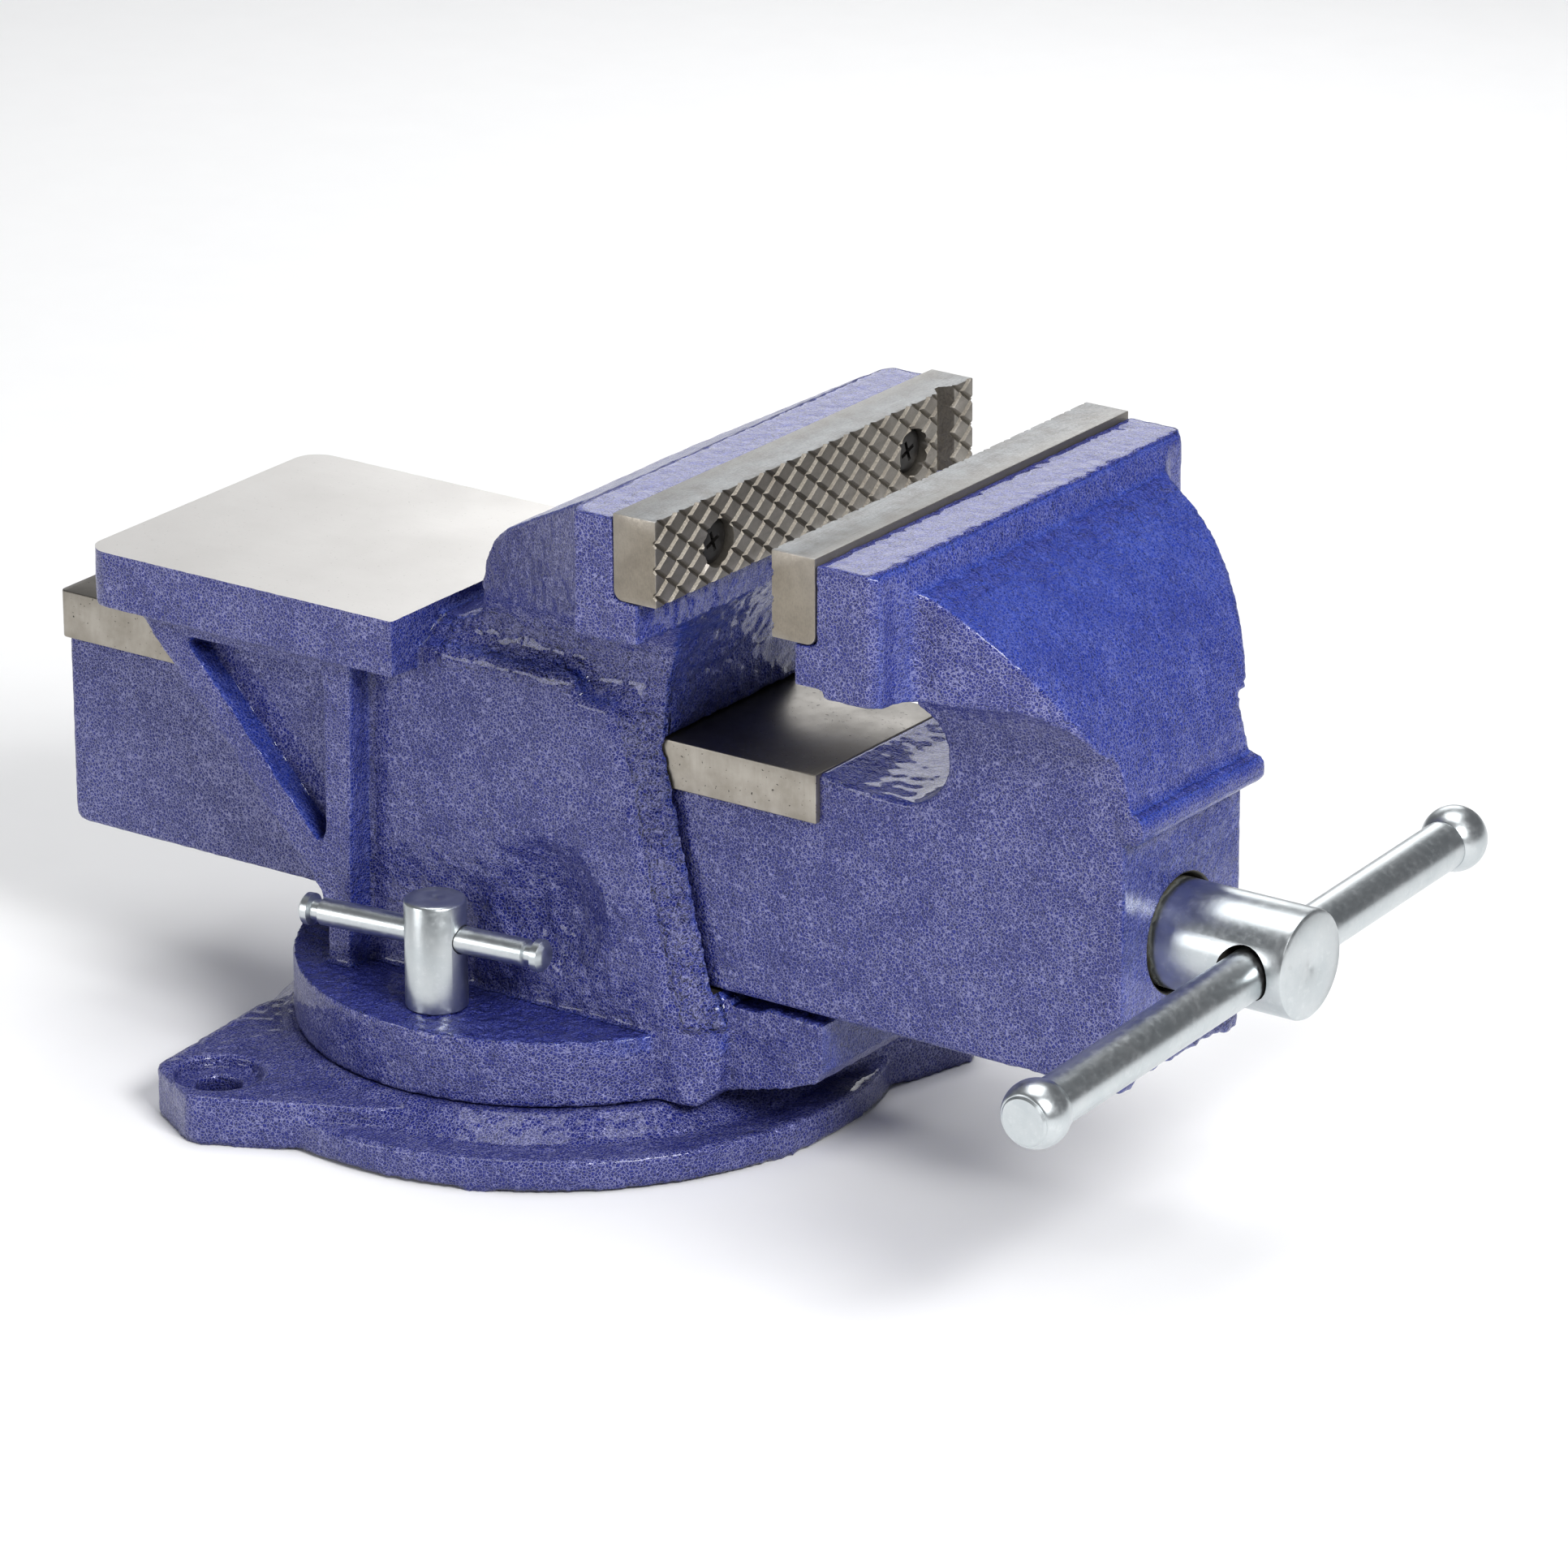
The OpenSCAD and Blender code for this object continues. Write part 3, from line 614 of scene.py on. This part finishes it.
def vise_body():
    """Swivel disc, housing, anvil and fixed jaw in one casting; the anvil's top is machined."""
    low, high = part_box("vise_body")
    anvil_front = -0.0168
    anvil_half = 0.0521
    corner = 0.008
    stock_top = ANVIL_TOP + 0.003
    plan = [(anvil_front, -anvil_half), (anvil_front, anvil_half)]
    plan += arc(low.x + corner, anvil_half - corner, corner, 90, 180, 8)
    plan += arc(low.x + corner, corner - anvil_half, corner, 180, 270, 8)
    stock = prism("anvil_stock", plan, "z", ANVIL_TOP - 0.006, stock_top)
    over = 0.006
    planed = numbered(block("anvil_cut", (low.x - over, -anvil_half - over, ANVIL_TOP),
                            (anvil_front + over / 2, anvil_half + over, stock_top + over)), 1)
    gap = 0.0007
    channel_half = RAIL_HALF + gap
    channel_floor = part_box("moving_jaw")[0].z - gap
    channel = numbered(block("channel", (low.x - over, -channel_half, channel_floor),
                             (high.x + over, channel_half, RAIL_TOP + gap)), 2)
    obj = casting("vise_body_casting", copy_of("vise_body", "body_source"), "vise_body",
                  [stock], [planed, channel], body_roughness, body_fillets)
    return finished(obj, "body", "cast_paint", [PAINT, ANVIL, GREASE], "vise_body", angle=50)


def body_roughness(points):
    """Smooth on the anvil and the panels, and lumpy on the front strip, under the jaw and at the waist."""
    x, y, z = points.T
    front = np.clip((x - 0.046) / 0.006, 0, 1) * (z > 0.037) * (z < 0.178)
    under_jaw = np.clip((z - 0.130) / 0.01, 0, 1) * np.clip((0.172 - z) / 0.004, 0, 1) * (x > -0.01)
    waist = np.clip((0.046 - np.hypot(x - 0.027, z - 0.066)) / 0.01, 0, 1) * (np.abs(y) > 0.028)
    return 0.9 + 2.1 * np.maximum(np.maximum(front, under_jaw), 0.8 * waist)


def body_fillets(points):
    """Rounds the rims of the waist hollows, the panels' shoulders and the foot of the fixed jaw."""
    x, y, z = points.T
    away = np.hypot(x - 0.027, z - 0.066)
    side = np.abs(y) > 0.028
    panel = side * (np.abs(y) < 0.048)
    rim = np.clip(1 - np.abs(away - 0.026) / 0.012, 0, 1) * panel * (z > 0.040)
    shoulder = np.clip(1 - np.abs(z - 0.134) / 0.010, 0, 1) * panel * (x > -0.012)
    throat = np.clip(1 - np.abs(z - 0.150) / 0.014, 0, 1) * side * (x > -0.005) * (np.abs(y) < 0.070)
    return np.clip(1.3 * np.maximum(np.maximum(rim, shoulder), 0.7 * throat), 0, 1)


def sunk_rail(source, rear):
    """Draws the rail's faces in, so that the crisp rail covers them."""
    sunk = 0.0008
    for v in source.data.vertices:
        on_rail = RAIL_UNDER - sunk < v.co.z < RAIL_TOP + sunk and v.co.x < RAIL_FRONT + sunk
        if on_rail and v.co.z > RAIL_TOP - sunk / 8:
            v.co.z -= sunk
        if on_rail and abs(v.co.y) > SLIDE_HALF + sunk / 8:
            v.co.y = math.copysign(SLIDE_HALF - sunk, v.co.y)
        if v.co.x < rear + sunk:
            v.co.x += 2 * sunk


def moving_jaw():
    """Slide, neck and hood of the moving jaw; the slide carries a machined rail."""
    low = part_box("moving_jaw")[0]
    source = copy_of("moving_jaw", "jaw_source")
    sunk_rail(source, low.x)
    seat_r = HEAD_R + 0.0012
    seat_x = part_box("thrust_washer")[0].x
    axis = (0, 0, SCREW_Z)
    plug = turned("plug", [(seat_x - 0.002, seat_r + 0.003), (SLIDE_FRONT, seat_r + 0.003)], axis, X_AXIS)
    chamfer = 0.0007
    bore = turned("bore", [(seat_x, seat_r), (SLIDE_FRONT - chamfer, seat_r),
                           (SLIDE_FRONT + 3 * chamfer, seat_r + 4 * chamfer)], axis, X_AXIS)
    stem_r = SCREW_R + 0.0002
    stem = turned("stem", [(seat_x - 0.030, stem_r), (seat_x + 0.001, stem_r)], axis, X_AXIS)
    obj = casting("moving_jaw_casting", source, "moving_jaw",
                  [plug], [numbered(bore, 2), numbered(stem, 2)], jaw_roughness)
    r = 0.0022
    plan = [(RAIL_FRONT, -RAIL_HALF), (RAIL_FRONT, RAIL_HALF)]
    plan += arc(low.x + r, RAIL_HALF - r, r, 90, 180, 5)
    plan += arc(low.x + r, r - RAIL_HALF, r, 180, 270, 5)
    rail = bevelled(prism("rail", plan, "z", RAIL_UNDER, RAIL_TOP), 0.0004)
    obj = joined("moving_jaw_casting", [obj, numbered(rail, 1)])
    return finished(obj, "jaw", "cast_paint", [PAINT, RAIL, GREASE], "moving_jaw", angle=50)


def jaw_roughness(points):
    """The hood and neck are a little lumpier than the slide, and the block's lower edge most."""
    x, _, z = points.T
    hood = np.clip((z - 0.125) / 0.01, 0, 1)
    foot = np.clip((x - 0.17) / 0.01, 0, 1) * np.clip((0.058 - z) / 0.006, 0, 1)
    return 0.55 + 0.5 * hood + 2.2 * foot


def swivel_base():
    """Round base with bolting lugs, rough from the mould."""
    obj = casting("swivel_base_casting", copy_of("swivel_base", "base_source"), "swivel_base",
                  [], [], lambda points: np.full(len(points), 1.1))
    return finished(obj, "base", "cast_paint", [PAINT], "swivel_base", angle=50)


# ---- Jaw plates and their screws ----

SCREW_YS = (-0.046, 0.046)
PLATE_SCREW_Z = 0.187
SCREW_HEAD_R = 0.0062


def grooves(name, face, outward, half, z_low, z_high):
    """Slanting V grooves both ways across a gripping face. outward is 1 or -1 along X."""
    slant = math.radians(36.5)
    pitch = 0.0059
    depth, width, proud = 0.0009, 0.0016, 0.0006
    middle_z = (z_low + z_high) / 2
    reach = half * math.sin(slant) + (z_high - z_low) / 2 * math.cos(slant)
    long = half + 0.02
    cuts = []
    for way in (1, -1):
        along = Vector((0, math.cos(slant), way * math.sin(slant)))
        across = Vector((0, -way * math.sin(slant), math.cos(slant)))
        for k in range(-int(reach / pitch), int(reach / pitch) + 1):
            centre = Vector((face, 0, middle_z)) + across * (k + 0.3) * pitch
            top = proud * width / depth / 2 + width / 2
            section = [(-depth, 0.0), (proud, top), (proud, -top)]
            points = []
            for end in (-long, long):
                for out, side in section:
                    points.append(centre + along * end + across * side + X_AXIS * out * outward)
            faces = [(0, 1, 2), (3, 5, 4), (0, 3, 4, 1), (1, 4, 5, 2), (2, 5, 3, 0)]
            cuts.append(object_from("groove", points, faces))
    return joined(name, cuts)


def jaw_plate(node, name, face, outward, body, notched):
    """A ground plate with a serrated face and screw holes; a notched one has an upright V for round work."""
    low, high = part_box(node)
    back = face - outward * (high.x - low.x)
    r = 0.003
    corner = arc(0, 0, r, 180, 270, 6)
    outline = [(face, high.z), (back, high.z)]
    outline += [(back + outward * (r + u), low.z + r + v) for u, v in corner]
    outline += [(face, low.z)]
    plate = bevelled(prism(name, outline, "y", low.y, high.y), 0.0004)
    combined(plate, numbered(grooves("grooves", face, outward, high.y, low.z, high.z), 1), solver="EXACT")
    recess = 0.0034
    for y in SCREW_YS:
        centre = (face, y, PLATE_SCREW_Z)
        inward = X_AXIS * -outward
        hole = turned("hole", [(-0.001, SCREW_HEAD_R + 0.0009), (0.0004, SCREW_HEAD_R + 0.0005),
                               (recess, SCREW_HEAD_R + 0.0005), (recess + 0.0034, 0.0033), (0.02, 0.0033)],
                      centre, inward, 64)
        combined(plate, numbered(hole, 1), solver="EXACT")
    if notched:
        v_y, v_depth, past = 0.0615, 0.0032, 0.001
        notch = prism("notch", [(face + outward * past, v_y - 0.0052), (face + outward * past, v_y + 0.0052),
                                (face, v_y + 0.0042), (face - outward * v_depth, v_y + 0.001),
                                (face - outward * v_depth, v_y - 0.001), (face, v_y - 0.0042)],
                      "z", low.z - past, high.z + past)
        combined(plate, numbered(notch, 1), solver="EXACT")
    return finished(plate, body, "jaw_steel", [PLATE, BITE], node, angle=25)


def plate_screws(node, name, face, outward, body):
    """Two black countersunk screws with crossed recesses, sunk under the face."""
    sink = 0.0022
    made = []
    inward = X_AXIS * -outward
    for y in SCREW_YS:
        centre = Vector((face - outward * sink, y, PLATE_SCREW_Z))
        profile = [(0, SCREW_HEAD_R - 0.0016), (0.0002, SCREW_HEAD_R - 0.0004), (0.0005, SCREW_HEAD_R),
                   (0.001, SCREW_HEAD_R), (0.004, 0.003), (0.018, 0.003)]
        screw = turned("screw", profile, centre, inward, 64)
        for k in range(2):
            turn = Matrix.Rotation(math.radians(20 + 90 * k), 4, "X")
            cross = tapered_slot(0.0066, 0.0012, 0.0026)
            cross.data.transform(Matrix.Translation(centre) @ turn @ Matrix.Scale(-outward, 4, X_AXIS))
            tidy_normals(cross)
            combined(screw, cross, solver="EXACT")
        made.append(screw)
    obj = joined(name, made)
    return finished(obj, body, "black_oxide", [BLACK], node, angle=30)


def tapered_slot(length, width, depth):
    """One arm of a crossed recess, opening at x = 0 and tapering along +X."""
    ends = [(-0.0004, 1.0), (depth, 0.45)]
    points = []
    for x, share in ends:
        a, b = length / 2 * share, width / 2 * (0.6 + 0.4 * share)
        points += [(x, -b, -a), (x, b, -a), (x, b, a), (x, -b, a)]
    faces = [(3, 2, 1, 0), (4, 5, 6, 7), (0, 1, 5, 4), (1, 2, 6, 5), (2, 3, 7, 6), (3, 0, 4, 7)]
    return object_from("slot", points, faces)


# ---- Lead screw, handle and their small parts ----

def thread(name, start, end, outer, root, pitch):
    """A square-shouldered thread about the screw's axis."""
    sides, per_turn = 48, 16
    rows = int((end - start) / pitch * per_turn)
    points, faces = [], []
    for k in range(rows + 1):
        x = start + (end - start) * k / rows
        for i in range(sides):
            turn = i / sides
            phase = (x / pitch - turn) % 1.0
            rise = min(max((abs(phase - 0.5) - 0.21) / 0.09, 0.0), 1.0)
            fade = min(1.0, (x - start) / 0.002, (end - x) / 0.002)
            radius = root + (outer - root) * (1 - rise) * max(fade, 0.0)
            angle = 2 * math.pi * turn
            points.append((x, radius * math.cos(angle), SCREW_Z + radius * math.sin(angle)))
    for k in range(rows):
        for i in range(sides):
            a, b, j = k * sides, (k + 1) * sides, (i + 1) % sides
            faces.append((a + i, b + i, b + j, a + j))
    faces.append(tuple(range(sides)))
    faces.append(tuple(rows * sides + i for i in range(sides))[::-1])
    return object_from(name, points, faces)


def lead_screw():
    """Threaded screw, plain stem and a thick head drilled across for the handle."""
    low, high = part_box("lead_screw")
    stem_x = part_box("screw_collar")[0].x - 0.004
    head_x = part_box("thrust_washer")[1].x
    axis = (0, 0, SCREW_Z)
    edge = 0.0012
    worm = thread("worm", low.x, stem_x + 0.001, SCREW_R, SCREW_R - 0.0021, 0.006)
    stem = turned("stem", [(stem_x, SCREW_R - 0.0005), (stem_x + 0.0005, SCREW_R), (head_x + 0.001, SCREW_R)],
                  axis, X_AXIS)
    head = turned("head", [(head_x, HEAD_R - 0.0006), (head_x + 0.0006, HEAD_R), (high.x - edge, HEAD_R),
                           (high.x - edge * 0.45, HEAD_R - edge * 0.25), (high.x, HEAD_R - edge),
                           (high.x, HEAD_R * 0.12), (high.x - 0.0003, HEAD_R * 0.08)], axis, X_AXIS, 128)
    hole_r = BAR_R + 0.001
    reach = HEAD_R + 0.004
    bore = turned("bore", [(-reach, hole_r), (reach, hole_r)], (HANDLE_X, 0, SCREW_Z), HANDLE_WAY, 96)
    combined(head, numbered(bore, 1), solver="EXACT")
    obj = joined("spindle", [worm, stem, head])
    return finished(obj, "spindle", "zinc", [TURNED_ZINC, GREASE], "lead_screw", angle=32)


def washer(node, name, body, axis, hole_r):
    """A flat ring with broken edges, where its CAD node is."""
    low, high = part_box(node)
    span = high - low
    along = [abs(c) for c in axis].index(1)
    across = (along + 1) % 3
    thick, outer, edge = span[along], span[across] / 2, min(0.0004, span[along] / 4)
    centre = (low + high) / 2
    a, b = -thick / 2, thick / 2
    profile = [(a, hole_r + edge), (a, outer - edge), (a + edge, outer), (b - edge, outer), (b, outer - edge),
               (b, hole_r + edge), (b - edge, hole_r), (a + edge, hole_r)]
    return finished(turned(name, profile, centre, axis, 96, ring=True), body, "zinc", [ZINC], node)


def collar_pin():
    """A straight pin with rounded ends across the collar."""
    low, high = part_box("collar_pin")
    r = size("collar_pin").x / 2
    end = 0.0006
    profile = [(low.z, r - 0.001), (low.z + end * 0.3, r - end * 0.4), (low.z + end, r), (high.z - end, r),
               (high.z - end * 0.3, r - end * 0.4), (high.z, r - 0.001)]
    centre = middle("collar_pin")
    pin = turned("collar_pin_body", profile, (centre.x, centre.y, 0), Z_AXIS, 48)
    return finished(pin, "spindle", "zinc", [ZINC], "collar_pin")


def handle_bar():
    """A bar whose ends carry the balls."""
    centre = middle("handle_bar")
    half = (size("handle_bar").y / 2 - BAR_R * HANDLE_WAY.z) / HANDLE_WAY.y
    edge = 0.0006
    profile = [(-half, BAR_R - edge), (-half + edge, BAR_R), (half - edge, BAR_R), (half, BAR_R - edge)]
    bar = turned("handle_rod", profile, centre, HANDLE_WAY, 96)
    return finished(bar, "handle", "zinc", [ZINC], "handle_bar")


def handle_ball(node, name, outward):
    """A pressed-on ball: round shoulders, a crimped collar and a flat outer end with a sharp ring."""
    centre = middle(node)
    half_long = 0.0064 - 0.0006
    ball_r = size(node).x / 2
    rounds = [(ball_r * math.sin(t), ball_r * math.cos(t)) for t in
              [math.radians(-38.5 + 77 * i / 16) for i in range(17)]]
    profile = [(-half_long, BAR_R + 0.0001)] + [(a, r) for a, r in rounds if abs(a) < half_long - 0.0001]
    rim = profile[-1][1]
    profile += [(half_long - 0.0002, rim - 0.0004), (half_long, rim - 0.0010), (half_long, BAR_R + 0.0002),
                (half_long - 0.0002, BAR_R)]
    ball = turned(name, profile, centre, HANDLE_WAY * outward, 96)
    return finished(ball, "handle", "zinc", [ZINC], node)


def hex_bolt(node, name, body, head_low, head_high, head_r, shank_r, bite):
    """A hexagon head chamfered at its corners, over a threaded shank. The head is below."""
    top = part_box(node)[1].z
    centre = middle(node)
    at = (centre.x, centre.y, 0)
    head = turned("head", [(head_low, head_r), (head_high, head_r)], at, Z_AXIS, 6)
    flat = head_r * math.cos(math.pi / 6)
    drop = (head_r - flat) * math.tan(math.radians(30))
    edge = 0.0004
    chamfers = [(head_low, flat - edge), (head_low + drop * 1.3, head_r + edge),
                (head_high - drop * 1.3, head_r + edge), (head_high, flat - edge)]
    combined(head, turned("cone", chamfers, at, Z_AXIS, 96), "INTERSECT", "EXACT")
    profile = [(head_high - 0.001, shank_r), (bite, shank_r)]
    pitch = 0.0015
    turns = int((top - bite) / pitch) - 1
    for k in range(turns):
        z = bite + k * pitch
        profile += [(z + pitch * 0.1, shank_r), (z + pitch * 0.5, shank_r - 0.0007),
                    (z + pitch * 0.9, shank_r)]
    profile += [(top - 0.0008, shank_r), (top, shank_r - 0.0008)]
    shank = turned("shank", profile, at, Z_AXIS, 48)
    return finished(joined(name, [head, shank]), body, "zinc", [ZINC], node, angle=28)


def main_nut():
    """The cast nut that the screw runs in, greasy from use."""
    obj = joined("main_nut_casting", [copy_of("main_nut", "nut_source")])
    skin = obj.modifiers.new("skin", "REMESH")
    skin.mode = "VOXEL"
    skin.voxel_size = 0.001
    settle(obj)
    soft = obj.modifiers.new("edges", "SMOOTH")
    soft.factor = 0.5
    soft.iterations = 3
    settle(obj)
    low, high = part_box("main_nut")
    bore = turned("bore", [(low.x - 0.001, SCREW_R + 0.0012), (low.x + 0.001, SCREW_R + 0.0001),
                           (high.x - 0.001, SCREW_R + 0.0001), (high.x + 0.001, SCREW_R + 0.0012)],
                  (0, 0, SCREW_Z), X_AXIS)
    combined(obj, bore)
    return finished(obj, "body", "raw_iron", [GREASE], "main_nut", angle=45)


def stud(node, name, body, profile, hole=None):
    """A turned part standing on end, with a cross hole where hole gives (height, radius, direction)."""
    centre = middle(node)
    obj = turned(name, profile, (centre.x, centre.y, 0), Z_AXIS, 96)
    if hole:
        height, radius, way = hole
        drill = turned("drill", [(-0.02, radius), (0.02, radius)], (centre.x, centre.y, height), way, 64)
        combined(obj, numbered(drill, 1), solver="EXACT")
    return finished(obj, body, "zinc", [ZINC, GREASE], node, angle=32)


def lock_bolt(side):
    """Round-headed bolt of the swivel lock, cross-drilled for its T-bar."""
    node = "lock_bolt_" + side
    low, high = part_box(node)
    head_r = size(node).x / 2
    shank_r, disc_top, edge = 0.005, 0.036, 0.0009
    way = Vector(JOINTS["lock_bar_slide_" + side]["axis"])
    profile = [(low.z, shank_r - 0.0008), (low.z + 0.0008, shank_r), (disc_top, shank_r),
               (disc_top, head_r - 0.0004), (disc_top + 0.0004, head_r), (high.z - edge, head_r),
               (high.z - edge * 0.4, head_r - edge * 0.35), (high.z, head_r - edge),
               (high.z, head_r * 0.14), (high.z - 0.0002, head_r * 0.1)]
    return stud(node, "lock_stud_" + side, "lock_" + side, profile, (LOCK_BAR_Z, LOCK_BAR_R + 0.0003, way))


def lock_bar(side):
    """T-bar with crimped necks and bevelled buttons."""
    node = "lock_bar_" + side
    way = Vector(JOINTS["lock_bar_slide_" + side]["axis"])
    r, half = LOCK_BAR_R, 0.0395
    end = [(half, 0.0029), (half - 0.0003, 0.0034), (half - 0.0013, 0.0046), (half - 0.0033, 0.0046),
           (half - 0.0039, 0.0031), (half - 0.0060, 0.0030), (half - 0.0066, r)]
    profile = [(-a, b) for a, b in end] + [(a, b) for a, b in end[::-1]]
    obj = turned("lock_rod_" + side, profile, middle(node), way, 64)
    return finished(obj, "lock_bar_" + side, "zinc", [ZINC], node, angle=32)


def t_nut(side):
    """Stepped nut that slides in the base's ring groove."""
    node = "t_nut_" + side
    low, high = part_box(node)
    edge = 0.0005
    wide = size(node).x / 2
    neck, step = wide - 0.0047, low.z + 0.0058
    profile = [(low.z, wide - edge), (low.z + edge, wide), (step - edge, wide), (step, wide - edge),
               (step, neck), (high.z - edge, neck), (high.z, neck - edge)]
    return stud(node, "t_nut_body_" + side, "body", profile)


# ---- Camera, floor and light ----

def camera():
    """The viewing angle of a long lens, a little above the jaws."""
    azimuth, elevation, roll = math.radians(35.40), math.radians(20.85), math.radians(-0.28)
    aim = Vector((0.0789, 0.0, 0.1010))
    back = Vector((math.cos(elevation) * math.sin(azimuth), -math.cos(elevation) * math.cos(azimuth),
                   math.sin(elevation)))
    right = Z_AXIS.cross(back).normalized()
    up = back.cross(right)
    right, up = (math.cos(roll) * right + math.sin(roll) * up, math.cos(roll) * up - math.sin(roll) * right)
    data = bpy.data.cameras.new("camera")
    data.lens = 191.2
    data.sensor_width = 36.0
    data.clip_end = 50.0
    made = bpy.data.objects.new("camera", data)
    turn = Matrix((right, up, back)).transposed().to_4x4()
    made.matrix_world = Matrix.Translation(aim + 2.3 * back) @ turn
    bpy.context.scene.collection.objects.link(made)
    bpy.context.scene.camera = made


def floor():
    made, tree, shader = new_material("floor")
    where = place(tree)
    paper = noise_of(tree, where, 40.0, 4.0)
    fill(tree, shader.inputs["Base Color"], mixed(tree, paper, rgb(0.92, 0.92, 0.92), rgb(0.95, 0.95, 0.95)))
    shader.inputs["Roughness"].default_value = 0.9
    half = 6.0
    obj = object_from("floor", [(-half, -half, 0), (half, -half, 0), (half, half, 0), (-half, half, 0)],
                      [(0, 1, 2, 3)])
    obj.data.materials.append(made)


def softbox(name, at, towards, width, height, power):
    data = bpy.data.lights.new(name, "AREA")
    data.shape = "RECTANGLE"
    data.size = width
    data.size_y = height
    data.energy = power
    made = bpy.data.objects.new(name, data)
    way = (Vector(towards) - Vector(at)).normalized()
    made.matrix_world = Matrix.Translation(at) @ way.to_track_quat("-Z", "Y").to_matrix().to_4x4()
    bpy.context.scene.collection.objects.link(made)


def light():
    world = bpy.data.worlds.new("studio")
    world.use_nodes = True
    world.node_tree.nodes["Background"].inputs["Color"].default_value = rgb(0.93, 0.95, 1.0)
    world.node_tree.nodes["Background"].inputs["Strength"].default_value = 0.18
    bpy.context.scene.world = world
    bpy.context.scene.view_settings.view_transform = "Standard"
    target = (0.03, 0.0, 0.09)
    softbox("key", (1.40, -0.65, 1.2), target, 0.7, 0.6, 32.0)
    softbox("left", (-0.9, -1.7, 0.55), target, 0.8, 0.7, 10.0)
    softbox("back", (-1.3, 1.8, 1.0), target, 1.6, 0.9, 4.5)
    softbox("gloss", (-0.42, 1.02, 0.58), target, 0.62, 0.40, 1.6)
    softbox("top", (-0.1, 0.3, 2.1), target, 1.5, 1.5, 24.0)


camera()
floor()
light()
vise_body()
moving_jaw()
swivel_base()

fixed_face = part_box("fixed_plate")[1].x
moving_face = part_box("moving_plate")[0].x
jaw_plate("fixed_plate", "fixed_plate_steel", fixed_face, 1, "body", True)
jaw_plate("moving_plate", "moving_plate_steel", moving_face, -1, "jaw", False)
plate_screws("fixed_plate_screws", "fixed_plate_screw_pair", fixed_face, 1, "body")
plate_screws("moving_plate_screws", "moving_plate_screw_pair", moving_face, -1, "jaw")
lead_screw()
washer("thrust_washer", "thrust_ring", "jaw", X_AXIS, SCREW_R + 0.00005)
washer("screw_collar", "collar_ring", "spindle", X_AXIS, SCREW_R)
washer("pivot_washer", "pivot_ring", "body", Z_AXIS, 0.0053)
washer("nut_washer", "nut_ring", "body", Z_AXIS, 0.0053)
collar_pin()
handle_bar()
handle_ball("handle_ball_near", "ball_near", -1)
handle_ball("handle_ball_far", "ball_far", 1)
main_nut()
pivot_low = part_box("pivot_bolt")[0].z
hex_bolt("pivot_bolt", "pivot_hex_bolt", "body", pivot_low, pivot_low + 0.0044, 0.009, 0.005, 0.012)
nut_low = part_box("nut_bolt")[0].z
hex_bolt("nut_bolt", "nut_hex_bolt", "body", nut_low, nut_low + 0.006, 0.009, 0.005, 0.040)
for near_or_far in ("near", "far"):
    lock_bolt(near_or_far)
    lock_bar(near_or_far)
    t_nut(near_or_far)
